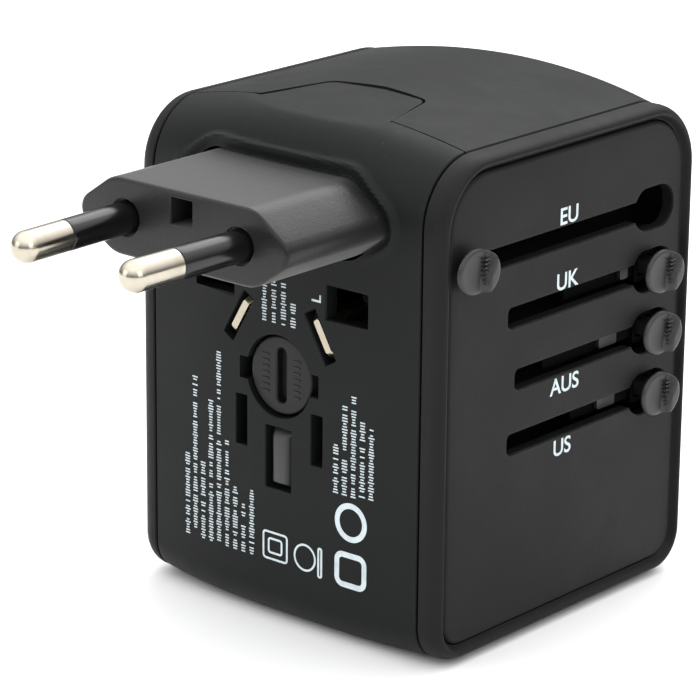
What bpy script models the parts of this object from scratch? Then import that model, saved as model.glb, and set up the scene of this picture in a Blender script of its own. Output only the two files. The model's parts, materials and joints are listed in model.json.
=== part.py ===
"""Universal travel adapter: four slide-out plugs, a fuse, a universal socket and a USB charger.

The plug face looks along -Y, the socket face along +Y, the sliders are on +X and the USB
sockets open downwards. The origin is the centre of the flat that the adapter stands on.
Sizes are in millimetres and are turned into metres where meshes are made.
"""

from math import atan2, cos, pi, radians, sin, sqrt

import bmesh
import bpy
from mathutils import Matrix, Vector

MM = 0.001
GAP = 0.3  # clearance between neighbouring pieces

# Housing
HALF_W = 26.0
HALF_D = 26.0
HEIGHT = 66.9
CORNER_R, FOOT_R = 7.5, 5.0  # upper and lower corners of the side view
SEAM_X = 22.6  # seam between the middle shells and the side frames
CROWN_Z, CROWN_FOOT = 2.4, 0.6  # top and bottom fall away by this much at the seam
CROWN_Y = 0.4
FOOT_HALF = 9.0  # the bottom is flat out to here
WALL = 2.1
SEAM_Y = -17.5  # seam between the front and rear shells
TONGUE_ROOT, TONGUE_TIP, TONGUE_END_Y = 10.7, 7.8, -5.9
TONGUE_Z = 66.25

# Side panels and sliders
PANEL_X = 25.4
PANEL_T = 1.6
PANEL_INSET = 0.35
SLOT_H = 2.7
SLIDER_Z = {"eu": 51.1, "uk": 42.85, "aus": 34.6, "us": 26.35}
SLOT_FRONT = {"eu": -21.9, "uk": -12.1, "aus": -10.5, "us": -11.8}
LATCH_Y, LATCH_L, LATCH_H = 17.6, 8.2, 5.6  # wide rear end of each slot
KNOB_Y = {"eu": -20.7, "uk": 17.6, "aus": 17.6, "us": 17.6}
KNOB_R = 3.05
KNOB_UNDER, KNOB_DISH, KNOB_RIDGE = 26.6, 27.3, 28.4
STEM_L, STEM_H, STEM_END_X = 2.6, 1.9, 22.3
RAIL_X0, RAIL_X1 = 19.6, 23.3
RAIL_H = 4.0

GUIDE_X0, GUIDE_X1, GUIDE_TOP = 18.9, 19.3, 49.9

# Plug face
PLATE_FRONT_OUT = -21.7  # a carriage's front face when its plug is fully out
UK_Z, UK_PIN_X, UK_EARTH_Z = 44.6, 11.11, 22.38
US_X, US_Z = 6.35, 26.2
AUS_X, AUS_Z, AUS_LEAN = 6.86, 39.86, radians(30)
UK_HOLE, UK_EARTH_HOLE, US_HOLE, AUS_HOLE = (6.7, 4.3), (4.3, 8.3), (1.9, 6.7), (1.9, 7.0)
FUSE_Z, FUSE_BORE_R, CAP_R, CAP_NECK_R, EAR_REACH = 33.26, 5.4, 5.1, 3.4, 6.2
TRAVEL = {"uk": 23.9, "aus": 19.9, "us": 26.0}
TIP_OUT = {"uk_earth": -48.7, "uk": -43.7, "aus": -45.4, "us": -44.0}

# European plug
EU_Z, EU_HALF_W, EU_HALF_H, EU_FLAT = 55.7, 17.4, 4.9, 11.6
EU_FRONT, EU_REAR = -43.4, -18.3
EU_PIN_R, EU_PIN_BASE_X, EU_PIN_TIP_X, EU_TIP = 2.0, 9.3, 8.8, -62.4
EU_SLEEVE_END = -53.4
NOSE_R = 1.6  # round side points of the plug body

# Socket on the back
SOCKET_Z, SOCKET_EARTH_Z = 21.5, 43.7
WINDOW_HALF, WINDOW_Z0, WINDOW_Z1 = 17.5, 12.6, 48.9
SOCKET_FACE = 24.8

# Charger
BOARD_Z0, BOARD_Z1 = 14.6, 15.8
USB_X, USB_Y = (-8.2, 8.2), (6.4, 15.5)
USB_W, USB_D, USB_TOP = 13.1, 5.6, 14.1
CAPACITORS = ((5.2, -14.0, 3.2, 4.4), (12.4, -14.0, 3.2, 4.4), (8.8, -6.6, 2.5, 6.0))  # x, y, radius, low end

SCREW_X, SCREW_Z = 20.1, (10.0, 56.8)
BOSS_R, SCREW_HOLE_R, HEAD_Y = 2.2, 1.3, 24.2


# ---------------------------------------------------------------- scene set-up
for old in list(bpy.data.objects):
    bpy.data.objects.remove(old, do_unlink=True)

parts = bpy.data.collections.new("universal_travel_adapter")
cutters = bpy.data.collections.new("cutters")
for group in (parts, cutters):
    bpy.context.scene.collection.children.link(group)


def material(name, colour, roughness, metallic=0.0):
    """A Principled material with one colour."""
    made = bpy.data.materials.new(name)
    made.use_nodes = True
    shader = made.node_tree.nodes["Principled BSDF"]
    shader.inputs["Base Color"].default_value = (*colour, 1.0)
    shader.inputs["Roughness"].default_value = roughness
    shader.inputs["Metallic"].default_value = metallic
    return made


# ---------------------------------------------------------------- mesh helpers
# Turns that lay a shape's own Z along X, Y or Z
ALONG = {"X": Matrix.Rotation(pi / 2, 4, "Y"), "Y": Matrix.Rotation(-pi / 2, 4, "X"), "Z": Matrix()}


def own(name, mesh):
    """A new object in the parts collection."""
    made = bpy.data.objects.new(name, mesh)
    parts.objects.link(made)
    return made


def from_bmesh(name, shape):
    bmesh.ops.recalc_face_normals(shape, faces=shape.faces)
    bmesh.ops.scale(shape, vec=(MM, MM, MM), verts=shape.verts)
    mesh = bpy.data.meshes.new(name)
    shape.to_mesh(mesh)
    shape.free()
    return own(name, mesh)


def box(name, low, high):
    """A box between two corners, in millimetres."""
    shape = bmesh.new()
    size = [b - a for a, b in zip(low, high)]
    centre = [(a + b) / 2 for a, b in zip(low, high)]
    place = Matrix.Translation(centre) @ Matrix.Diagonal((*size, 1.0))
    bmesh.ops.create_cube(shape, size=1.0, matrix=place)
    return from_bmesh(name, shape)


def cylinder(name, axis, centre, radius, low, high, sides=20, end_radius=None):
    """A cylinder or cone along X, Y or Z from low to high; centre gives the other two axes."""
    shape = bmesh.new()
    middle = list(centre)
    middle.insert("XYZ".index(axis), (low + high) / 2)
    bmesh.ops.create_cone(
        shape, cap_ends=True, segments=sides, radius1=radius,
        radius2=radius if end_radius is None else end_radius, depth=high - low,
        matrix=Matrix.Translation(middle) @ ALONG[axis],
    )
    return from_bmesh(name, shape)


def prism(name, outline, axis, low, high):
    """A flat outline drawn as a filled 2D curve and extruded along X, Y or Z.

    The outline's two numbers are (y, z) for X, (x, z) for Y and (x, y) for Z."""
    curve = bpy.data.curves.new(name, "CURVE")
    curve.dimensions = "2D"
    curve.fill_mode = "BOTH"
    curve.extrude = (high - low) / 2 * MM
    spline = curve.splines.new("POLY")
    spline.points.add(len(outline) - 1)
    for point, (a, b) in zip(spline.points, outline):
        point.co = (a * MM, b * MM, 0.0, 1.0)
    spline.use_cyclic_u = True
    guide = bpy.data.objects.new(name + "_curve", curve)
    parts.objects.link(guide)
    bpy.context.view_layer.update()
    mesh = bpy.data.meshes.new_from_object(guide.evaluated_get(bpy.context.evaluated_depsgraph_get()))
    bpy.data.objects.remove(guide, do_unlink=True)
    shape = bmesh.new()
    shape.from_mesh(mesh)
    bmesh.ops.remove_doubles(shape, verts=shape.verts, dist=1e-6)
    swap = {
        "X": Matrix(((0, 0, 1, 0), (1, 0, 0, 0), (0, 1, 0, 0), (0, 0, 0, 1))),
        "Y": Matrix(((1, 0, 0, 0), (0, 0, 1, 0), (0, 1, 0, 0), (0, 0, 0, 1))),
        "Z": Matrix(),
    }[axis]
    shift = Vector((0, 0, 0))
    shift["XYZ".index(axis)] = (low + high) / 2 * MM
    bmesh.ops.transform(shape, matrix=Matrix.Translation(shift) @ swap, verts=shape.verts)
    bmesh.ops.recalc_face_normals(shape, faces=shape.faces)
    shape.to_mesh(mesh)
    shape.free()
    return own(name, mesh)


def loft(name, sections):
    """Skin over unlike sections with the same number of points, closed by flat end faces."""
    shape = bmesh.new()
    rings = [[shape.verts.new(point) for point in section] for section in sections]
    count = len(rings[0])
    for near, far in zip(rings, rings[1:]):
        for i in range(count):
            j = (i + 1) % count
            shape.faces.new((near[i], near[j], far[j], far[i]))
    shape.faces.new(rings[0])
    shape.faces.new(rings[-1])
    return from_bmesh(name, shape)


def turned(name, centre, profile, steps=20):
    """A solid turned about a line along Y. The profile lists (radius, y) by rising y."""
    shape = bmesh.new()
    rim = [(0.0, profile[0][1])] + list(profile) + [(0.0, profile[-1][1])]
    points = [shape.verts.new((radius, 0.0, height)) for radius, height in reversed(rim)]
    for near, far in zip(points, points[1:]):
        shape.edges.new((near, far))
    made = from_bmesh(name, shape)
    spin = made.modifiers.new("turn", "SCREW")
    spin.steps = spin.render_steps = steps
    spin.use_merge_vertices = True
    spin.merge_threshold = 1e-6
    bake(made)
    made.data.transform(Matrix.Translation((centre[0] * MM, 0, centre[1] * MM)) @ ALONG["Y"])
    return made


def bake(target):
    """Replaces an object's mesh by what its modifiers make of it."""
    bpy.context.view_layer.update()
    mesh = bpy.data.meshes.new_from_object(target.evaluated_get(bpy.context.evaluated_depsgraph_get()))
    target.modifiers.clear()
    target.data = mesh


def combine(target, other, operation):
    """Boolean with a tool object that is then removed."""
    other.display_type = "WIRE"
    other.hide_render = True
    parts.objects.unlink(other)
    cutters.objects.link(other)
    change = target.modifiers.new(operation.lower(), "BOOLEAN")
    change.operation = operation
    change.solver = "EXACT"
    change.object = other
    bake(target)
    bpy.data.objects.remove(other, do_unlink=True)


def cut(target, *tools):
    for tool in tools:
        combine(target, tool, "DIFFERENCE")


def join(target, *pieces):
    for piece in pieces:
        combine(target, piece, "UNION")
    return target


def keep(target, tool):
    combine(target, tool, "INTERSECT")


def bevel(target, width, segments=2, angle=40):
    """Rounded edges, as a live modifier."""
    edge = target.modifiers.new("edges", "BEVEL")
    edge.width = width * MM
    edge.segments = segments
    edge.limit_method = "ANGLE"
    edge.angle_limit = radians(angle)


def finish(target, look, pivot=None):
    """Gives a piece its material and smooth round faces, and hangs it on its joint's empty."""
    target.data.materials.clear()
    target.data.materials.append(look)
    target.data.shade_smooth()
    target.data.set_sharp_from_angle(angle=radians(35))
    if pivot is not None:
        target.data.transform(Matrix.Translation(-pivot.location))
        target.parent = pivot
    return target


def pivot_at(name, x, y, z):
    """An empty on a joint's axis."""
    made = bpy.data.objects.new(name, None)
    made.location = Vector((x, y, z)) * MM
    made.empty_display_size = 0.004
    parts.objects.link(made)
    return made


# ---------------------------------------------------------------- outlines
def rounded(a0, b0, a1, b1, radius, steps=5, low_radius=None):
    """A rectangle with round corners; the two at b0 may have their own radius."""
    low_radius = radius if low_radius is None else low_radius
    points = []
    for a, b, quarter, r in ((a1, b1, 0, radius), (a0, b1, 1, radius), (a0, b0, 2, low_radius),
                             (a1, b0, 3, low_radius)):
        ca = a - r if a == a1 else a + r
        cb = b - r if b == b1 else b + r
        for i in range(steps + 1):
            t = (quarter + i / steps) * pi / 2
            points.append((ca + r * cos(t), cb + r * sin(t)))
    return points


def turned_box(centre, width, height, lean):
    """The corners of a rectangle leaning sideways by an angle from upright."""
    out = []
    for a, b in ((-1, -1), (1, -1), (1, 1), (-1, 1)):
        x, z = a * width / 2, b * height / 2
        out.append((centre[0] + x * cos(lean) + z * sin(lean), centre[1] - x * sin(lean) + z * cos(lean)))
    return out


def aperture(centre, size, depth, lean=0.0):
    """A cutter along Y with a rectangular, maybe leaning, outline."""
    return prism("aperture", turned_box(centre, *size, lean), "Y", *depth)


def plug_outline(grow=0.0):
    """The flat hexagon of the European plug with rounded side points."""
    half_w, half_h, flat = EU_HALF_W + grow, EU_HALF_H + grow, EU_FLAT + 0.4 * grow
    slope = atan2(half_h, half_w - flat)
    turns = [(i / 2 - 1) * (pi / 2 - slope) for i in range(5)]
    nose = [(half_w - NOSE_R + NOSE_R * cos(t), NOSE_R * sin(t)) for t in turns]
    half = nose + [(flat, half_h), (-flat, half_h)]
    return [(x, z + EU_Z) for x, z in half + [(-x, -z) for x, z in half]]


def form(x):
    """On one side: crown of the plug face, and the rim's reach across the width and inwards."""
    return (1.4, 3.0, 3.0) if x < 0 else (CROWN_Y, 2.0, 1.0)


def housing_ring(x, inset=0.0, steps=5):
    """The housing's side-view outline at one station across its width."""
    crown, rim_r, rim_in = form(x)
    share = min(abs(x), SEAM_X) / SEAM_X
    past = max(0.0, abs(x) - (HALF_W - rim_r))
    rim = rim_in * (1 - sqrt(max(0.0, 1 - (past / rim_r) ** 2)))
    foot = max(0.0, (min(abs(x), SEAM_X) - FOOT_HALF) / (SEAM_X - FOOT_HALF))
    inwards = rim + inset
    front, back = crown * share**2 + inwards, CROWN_Y * share**2 + inwards
    top = HEIGHT - CROWN_Z * share**2 - inwards
    tighter = 0.6 * rim + inset
    ring = rounded(-HALF_D + front, CROWN_FOOT * foot**2 + inwards, HALF_D - back, top,
                   CORNER_R + share**2 - tighter, steps, FOOT_R - tighter)
    return [(x, y, z) for y, z in ring]


RIM_ANGLES = [i / 3 * pi / 2 for i in range(4)]


def housing(name, low, high, inset=0.0, steps=5):
    """The housing's solid form between two stations across its width."""
    stations = [-SEAM_X, -18.5, -14.0, -FOOT_HALF, -4.5, 0.0, 4.5, FOOT_HALF, 14.0, 18.5, SEAM_X]
    stations += [side * (HALF_W - form(side)[1] * (1 - sin(t))) for side in (-1, 1) for t in RIM_ANGLES]
    inner = [x for x in stations if low + 0.05 < x < high - 0.05]
    return loft(name, [housing_ring(x, inset, steps) for x in sorted([low, high] + inner)])


def panel_outline(grow=0.0, side=1):
    """A side panel's outline, inside the rim of its frame."""
    crown, _, rim_in = form(side)
    inwards = rim_in + PANEL_INSET - grow
    tighter = 0.6 * rim_in + PANEL_INSET - grow
    return rounded(-HALF_D + crown + inwards, CROWN_FOOT + inwards, HALF_D - CROWN_Y - inwards,
                   HEIGHT - CROWN_Z - inwards, CORNER_R + 1.0 - tighter, 5, FOOT_R - tighter)


# ---------------------------------------------------------------- housing
def tongue_outline(grow=0.0):
    end, tip = TONGUE_END_Y + grow, TONGUE_TIP + grow
    corner = 1.2
    return [
        (TONGUE_ROOT + grow, SEAM_Y - 1.0), (TONGUE_ROOT + grow, SEAM_Y), (tip, end - 1.6),
        (tip - 0.35, end - 0.9), (tip - corner, end - 0.45), (0.0, end), (corner - tip, end - 0.45),
        (0.35 - tip, end - 0.9), (-tip, end - 1.6), (-TONGUE_ROOT - grow, SEAM_Y),
        (-TONGUE_ROOT - grow, SEAM_Y - 1.0),
    ]


def hollow_shell(name):
    """The middle of the housing, open at both sides."""
    edge = SEAM_X - GAP / 2
    shell = housing(name, -edge, edge)
    cut(shell, housing("cavity", -edge - 1, edge + 1, WALL, 3))
    return shell


def make_front_shell():
    """Plug face, edges and the tongue that runs back into the top."""
    shell = hollow_shell("front_shell")
    region = box("region", (-30, -40, -5), (30, SEAM_Y - GAP / 2, 80))
    join(region, prism("tongue", tongue_outline(-GAP / 2), "Z", 60.0, 80.0))
    keep(shell, region)
    right = [(TONGUE_ROOT, -27), (TONGUE_ROOT, SEAM_Y), (TONGUE_TIP + 1, 0)]
    flat = right + [(-x, y) for x, y in reversed(right)]
    cut(shell, prism("flat", flat, "Z", TONGUE_Z, 70.0))
    for x in (-SCREW_X, SCREW_X):
        for z in SCREW_Z:
            join(shell, cylinder("boss", "Y", (x, z), BOSS_R, -24.0, -3.0, 12))
            cut(shell, cylinder("pilot", "Y", (x, z), SCREW_HOLE_R, -15.0, -2.0, 12))
    face = (-30, -20)
    cut(shell, prism("well", plug_outline(0.4), "Y", *face))
    for side in (-1, 1):
        cut(shell, aperture((side * UK_PIN_X, UK_Z), UK_HOLE, face))
        cut(shell, aperture((side * US_X, US_Z), US_HOLE, face))
        cut(shell, aperture((side * AUS_X, AUS_Z), AUS_HOLE, face, -side * AUS_LEAN))
    cut(shell, aperture((0, UK_EARTH_Z), UK_EARTH_HOLE, face))
    cut(shell, cylinder("bore", "Y", (0, FUSE_Z), FUSE_BORE_R, *face, 24))
    cut(shell, aperture((0, FUSE_Z), (13.2, 2.9), face))
    finish(shell, BLACK)


def make_rear_shell():
    """Back, bottom and most of the top, with the socket window and the USB mouths."""
    shell = hollow_shell("rear_shell")
    region = box("region", (-30, SEAM_Y + GAP / 2, -5), (30, 40, 80))
    cut(region, prism("tongue", tongue_outline(GAP / 2), "Z", 60.0, 90.0))
    keep(shell, region)
    window = rounded(-WINDOW_HALF, WINDOW_Z0, WINDOW_HALF, WINDOW_Z1, 5.0)
    cut(shell, prism("window", window, "Y", 20.0, 30.0))
    for x in (-SCREW_X, SCREW_X):
        for z in SCREW_Z:
            join(shell, cylinder("boss", "Y", (x, z), BOSS_R, -2.6, 24.5, 12))
            cut(shell, cylinder("pass", "Y", (x, z), SCREW_HOLE_R, -4.0, 30.0, 12))
            cut(shell, cylinder("sink", "Y", (x, z), BOSS_R, HEAD_Y - GAP, 30.0, 16))
    for x in USB_X:
        for y in USB_Y:
            half_w, half_d = USB_W / 2 + GAP, USB_D / 2 + GAP
            cut(shell, box("mouth", (x - half_w, y - half_d, -2), (x + half_w, y + half_d, 3.6)))
    finish(shell, BLACK)


def make_side(side, name):
    """A ring-shaped side frame and the panel inside it. side is 1 for the slider side."""
    low, high = sorted((side * (SEAM_X + GAP / 2), side * HALF_W))
    frame = housing(name + "_side_frame", low, high)
    cut(frame, prism("window", panel_outline(GAP / 2, side), "X", min(low, high) - 1, max(low, high) + 1))
    finish(frame, BLACK)
    low, high = sorted((side * (PANEL_X - PANEL_T), side * PANEL_X))
    panel = prism("slider_panel" if side > 0 else "left_panel", panel_outline(-GAP / 2, side), "X", low, high)
    if side > 0:
        for key, z in SLIDER_Z.items():
            slot = rounded(SLOT_FRONT[key], z - SLOT_H / 2, LATCH_Y, z + SLOT_H / 2, SLOT_H / 2 - 0.05, 3)
            half_l, half_h = LATCH_L / 2, LATCH_H / 2
            latch = rounded(LATCH_Y - half_l, z - half_h, LATCH_Y + half_l, z + half_h, half_h - 0.1)
            cut(panel, prism("slot", slot, "X", 20, 30), prism("latch", latch, "X", 20, 30))
        for key in ("uk", "aus", "us"):
            z = SLIDER_Z[key] + (SLIDER_Z["eu"] - SLIDER_Z["uk"]) / 2
            join(panel, box("rib", (21.6, -19.5, z - 0.6), (PANEL_X - PANEL_T + 0.2, 21.0, z + 0.6)))
    finish(panel, BLACK)


# ---------------------------------------------------------------- slider parts
def knob_seat(carriage, key):
    """Joins the block that holds a knob to its carriage, with the pocket for the stem."""
    y, z = KNOB_Y[key], SLIDER_Z[key]
    block = box("block", (RAIL_X0, y - 0.9, z - RAIL_H / 2), (RAIL_X1, y + 4.6, z + RAIL_H / 2))
    join(carriage, block)
    cut(carriage, box("pocket", (20.6, y - 0.3, z - 1.3), (30.0, y + STEM_L + 0.3, z + 1.3)))


def make_knob(key, slide):
    """Finger knob with its stem, and the spring under it, in the carriage's pocket."""
    y, z = KNOB_Y[key], SLIDER_Z[key]
    press = pivot_at(key + "_press_axis", KNOB_UNDER, y, z)
    cap = cylinder(key + "_knob", "X", (y, z), KNOB_R, KNOB_UNDER, KNOB_RIDGE, 24)
    dish = [(y - 4, z - 4), (y - 4, z + 4), (y + 0.5, z + 4), (y + 0.5, z - 4)]
    cut(cap, prism("dish", dish, "X", KNOB_DISH, KNOB_RIDGE + 1))
    stem = box("stem", (STEM_END_X, y, z - STEM_H / 2), (KNOB_UNDER + 0.3, y + STEM_L, z + STEM_H / 2))
    join(cap, stem)
    finish(cap, KNOB_GREY, press)
    middle = y + STEM_L / 2
    spring = cylinder(key + "_knob_spring", "X", (middle, z), 0.9, 20.9, STEM_END_X - GAP, 12)
    cut(spring, cylinder("bore", "X", (middle, z), 0.6, 20.0, 23.0, 12))
    finish(spring, STEEL, slide)


def carriage_box(key, x0, z0, x1, z1, thick=3.5):
    """A bar of a carriage, across the plug, at the place where it rests when stowed."""
    front = PLATE_FRONT_OUT + TRAVEL[key]
    return box("bar", (x0, front, z0), (x1, front + thick, z1))


def finish_carriage(key, carriage, slide):
    """Adds the arm and the rail from the bar back to the knob."""
    front = PLATE_FRONT_OUT + TRAVEL[key]
    z = SLIDER_Z[key]
    join(carriage, box("rail", (RAIL_X0, front, z - 1.2), (22.9, KNOB_Y[key] + 1.0, z + 1.2)))
    knob_seat(carriage, key)
    finish(carriage, DARK_PLASTIC, slide)


def make_uk_plug():
    """C-shaped carriage with two rectangular pins and the earth pin."""
    slide = pivot_at("uk_slide_axis", 22.0, KNOB_Y["uk"], SLIDER_Z["uk"])
    front = PLATE_FRONT_OUT + TRAVEL["uk"]
    carriage = carriage_box("uk", -14.6, 43.45, 15.2, 47.2)
    carriage.name = "uk_carriage"
    join(carriage, carriage_box("uk", -14.6, 17.0, -10.8, 45.0))
    join(carriage, carriage_box("uk", -12.0, 17.0, 2.2, 22.3))
    join(carriage, carriage_box("uk", 14.0, 41.7, 21.0, 46.0))
    finish_carriage("uk", carriage, slide)
    back = front - GAP
    for side, word in ((-1, "neutral"), (1, "line")):
        x = side * UK_PIN_X
        tip = TIP_OUT["uk"] + TRAVEL["uk"]
        pin = box("uk_pin_" + word, (x - 3.15, tip, UK_Z - 1.95), (x + 3.15, back, UK_Z + 1.95))
        bevel(pin, 0.6, 2)
        finish(pin, NICKEL, slide)
    tip = TIP_OUT["uk_earth"] + TRAVEL["uk"]
    earth = box("uk_earth_pin", (-1.95, tip, UK_EARTH_Z - 3.95), (1.95, back, UK_EARTH_Z + 3.95))
    bevel(earth, 0.6, 2)
    finish(earth, DARK_PLASTIC, slide)
    make_knob("uk", slide)


def make_aus_plug():
    """Arched carriage over the fuse tube with two leaning blades."""
    slide = pivot_at("aus_slide_axis", 22.0, KNOB_Y["aus"], SLIDER_Z["aus"])
    front = PLATE_FRONT_OUT + TRAVEL["aus"]
    carriage = carriage_box("aus", -9.2, 37.7, 11.0, 41.4)
    carriage.name = "aus_carriage"
    join(carriage, carriage_box("aus", 8.6, 33.4, 12.0, 41.4))
    join(carriage, carriage_box("aus", 10.0, 33.4, 21.0, 35.8))
    finish_carriage("aus", carriage, slide)
    for side, word in ((-1, "left"), (1, "right")):
        outline = turned_box((side * AUS_X, AUS_Z), 1.6, 6.5, -side * AUS_LEAN)
        blade = prism("aus_blade_" + word, outline, "Y", TIP_OUT["aus"] + TRAVEL["aus"], front - GAP)
        bevel(blade, 0.35, 1)
        finish(blade, NICKEL, slide)
    make_knob("aus", slide)


def make_us_plug():
    """Bar under the fuse tube with two upright blades."""
    slide = pivot_at("us_slide_axis", 22.0, KNOB_Y["us"], SLIDER_Z["us"])
    front = PLATE_FRONT_OUT + TRAVEL["us"]
    carriage = carriage_box("us", -7.8, 26.75, 15.0, 28.85)
    carriage.name = "us_carriage"
    join(carriage, carriage_box("us", 12.0, 25.3, 21.0, 28.85))
    for side in (-1, 1):
        join(carriage, carriage_box("us", side * US_X - 1.3, 23.6, side * US_X + 1.3, 28.85))
    finish_carriage("us", carriage, slide)
    for side, word in ((-1, "left"), (1, "right")):
        x, tip = side * US_X, TIP_OUT["us"] + TRAVEL["us"]
        blade = box("us_blade_" + word, (x - 0.75, tip, US_Z - 3.15), (x + 0.75, front - GAP, US_Z + 3.15))
        bevel(blade, 0.3, 1)
        finish(blade, NICKEL, slide)
    make_knob("us", slide)


def make_eu_plug():
    """European plug, shown fully out: body, sleeved round pins, carriage and knob."""
    slide = pivot_at("eu_slide_axis", 22.0, KNOB_Y["eu"], SLIDER_Z["eu"])
    body = prism("eu_plug_body", plug_outline(), "Y", EU_FRONT, EU_REAR)
    for side in (-1, 1):
        well = (side * EU_PIN_BASE_X, EU_Z)
        cut(body, cylinder("well", "Y", well, EU_PIN_R + 0.35, EU_FRONT - 1, EU_FRONT + 8, 16))
    cut(body, box("hole", (-1.75, EU_FRONT - 1, EU_Z + 0.6), (1.75, EU_FRONT + 6, EU_Z + 4.0)))
    finish(body, SATIN_BLACK, slide)
    length = EU_FRONT - EU_TIP
    drift = (EU_PIN_BASE_X - EU_PIN_TIP_X) / length

    def pin_x(y):
        return EU_PIN_BASE_X - drift * (EU_FRONT - y)

    for side, word in ((-1, "left"), (1, "right")):
        def ring(radius, y):
            return [(side * pin_x(y) + radius * cos(t), y, EU_Z + radius * sin(t))
                    for t in (2 * pi * i / 16 for i in range(16))]

        dome = [ring(EU_PIN_R * sin(t), EU_TIP + EU_PIN_R * (1 - cos(t))) for t in (0.25, 0.75, 1.2, pi / 2)]
        core = loft("eu_pin_" + word, dome + [ring(EU_PIN_R, EU_SLEEVE_END - GAP / 2),
                                              ring(1.3, EU_SLEEVE_END - GAP / 2), ring(1.3, EU_FRONT + 7.6)])
        finish(core, NICKEL, slide)
        ends = [ring(EU_PIN_R, EU_SLEEVE_END + GAP / 2), ring(EU_PIN_R, EU_FRONT + 7.4)]
        sleeve = loft("eu_sleeve_" + word, ends)
        cut(sleeve, loft("bore", [ring(1.6, EU_SLEEVE_END - 1), ring(1.6, EU_FRONT + 9)]))
        finish(sleeve, SLEEVE_BLACK, slide)
    z = SLIDER_Z["eu"]
    carriage = box("eu_carriage", (-13.0, EU_REAR + GAP, 51.4), (15.0, EU_REAR + GAP + 1.8, 60.0))
    join(carriage, box("arm", (14.2, -21.6, z - 0.9), (20.5, EU_REAR + GAP + 1.8, z + 1.2)))
    knob_seat(carriage, "eu")
    finish(carriage, DARK_PLASTIC, slide)
    make_knob("eu", slide)


# ---------------------------------------------------------------- fuse
def make_fuse():
    """Twist-out cap, holder tube, glass fuse and its rear contact."""
    turn = pivot_at("fuse_cap_axis", 0.0, -24.0, FUSE_Z)
    head = [(CAP_R - 0.3, -25.4), (CAP_R, -25.1), (CAP_R, -23.5)]
    cap = turned("fuse_cap", (0, FUSE_Z), head + [(CAP_NECK_R, -23.5), (CAP_NECK_R, -21.6)], 24)
    join(cap, box("ears", (-1.3, -23.25, FUSE_Z - EAR_REACH), (1.3, -22.1, FUSE_Z + EAR_REACH)))
    cut(cap, box("coin_slot", (-0.8, -26, FUSE_Z - 3.6), (0.8, -24.2, FUSE_Z + 3.6)))
    finish(cap, DARK_PLASTIC, turn)
    tube = cylinder("fuse_holder", "Y", (0, FUSE_Z), 3.95, -21.2, 3.2, 20)
    cut(tube, cylinder("bore", "Y", (0, FUSE_Z), 3.1, -22, 4, 20))
    finish(tube, DARK_PLASTIC)
    finish(cylinder("fuse_glass", "Y", (0, FUSE_Z), 2.3, -15.4, -5.6, 16), GLASS)
    finish(cylinder("fuse_end_cap_front", "Y", (0, FUSE_Z), 2.6, -20.6, -15.7, 16), NICKEL)
    finish(cylinder("fuse_end_cap_rear", "Y", (0, FUSE_Z), 2.6, -5.3, -0.4, 16), NICKEL)
    contact = cylinder("fuse_contact", "Y", (0, FUSE_Z), 2.6, -0.1, 0.7, 16)
    join(contact, box("tail", (-1.0, 0.5, FUSE_Z - 0.4), (1.0, 7.8, FUSE_Z + 0.4)))
    finish(contact, BRASS)


# ---------------------------------------------------------------- socket
def make_socket():
    """Socket plate with apertures that take several plugs, and the sprung contacts behind it."""
    outline = rounded(-WINDOW_HALF + GAP, WINDOW_Z0 + GAP, WINDOW_HALF - GAP, WINDOW_Z1 - GAP, 4.7)
    flange = rounded(-WINDOW_HALF - 1.2, WINDOW_Z0 - 0.6, WINDOW_HALF + 1.2, WINDOW_Z1 + 1.0, 5.0)
    plate = prism("socket_plate", outline, "Y", 22.4, SOCKET_FACE)
    join(plate, prism("flange", flange, "Y", 21.6, 22.7))
    face = (20, 30)
    for side in (-1, 1):
        cut(plate, aperture((side * UK_PIN_X, SOCKET_Z), UK_HOLE, face))
        cut(plate, cylinder("eu", "Y", (side * 9.5, SOCKET_Z), 2.45, *face, 16))
        cut(plate, aperture((side * US_X, SOCKET_Z), US_HOLE, face))
        cut(plate, aperture((side * 7.92, SOCKET_Z + 1.2), AUS_HOLE, face, -side * AUS_LEAN))
    cut(plate, aperture((0, SOCKET_EARTH_Z), UK_EARTH_HOLE, face))
    cut(plate, cylinder("us_earth", "Y", (0, SOCKET_Z + 11.9), 2.45, *face, 16))
    finish(plate, BLACK)
    for side, word in ((-1, "line"), (1, "neutral")):
        x0, x1 = sorted((side * 5.0, side * 15.4))
        contact = box(word + "_socket_contact", (x0, 9.2, SOCKET_Z - 4.9), (x1, 21.2, SOCKET_Z + 6.1))
        cut(contact, box("throat", (x0 - 1, 10.0, SOCKET_Z - 4.2), (x1 + 1, 23.0, SOCKET_Z + 5.4)))
        finish(contact, BRASS)
    earth = box("earth_socket_contact", (-3.4, 9.2, SOCKET_EARTH_Z - 12.9), (3.4, 21.2, SOCKET_EARTH_Z + 4.2))
    cut(earth, box("throat", (-2.7, 10.0, SOCKET_EARTH_Z - 14), (2.7, 23.0, SOCKET_EARTH_Z + 6)))
    finish(earth, BRASS)
    finish(box("contact_carrier", (-16.4, 8.1, 16.2), (16.4, 8.9, 47.5)), DARK_PLASTIC)
    finish(box("neutral_busbar", (-18.6, -18.0, 24.0), (-18.0, 20.0, 38.0)), BRASS)
    finish(box("line_busbar", (16.8, -18.0, 30.0), (17.4, 20.0, 32.0)), BRASS)
    guide = box("guide_plate", (-19.0, -19.0, 47.8), (18.6, 21.4, 49.0))
    cut(guide, box("notch", (-3.7, 9.0, 46.0), (3.7, 22.0, 50.0)))
    finish(guide, DARK_PLASTIC)


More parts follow.
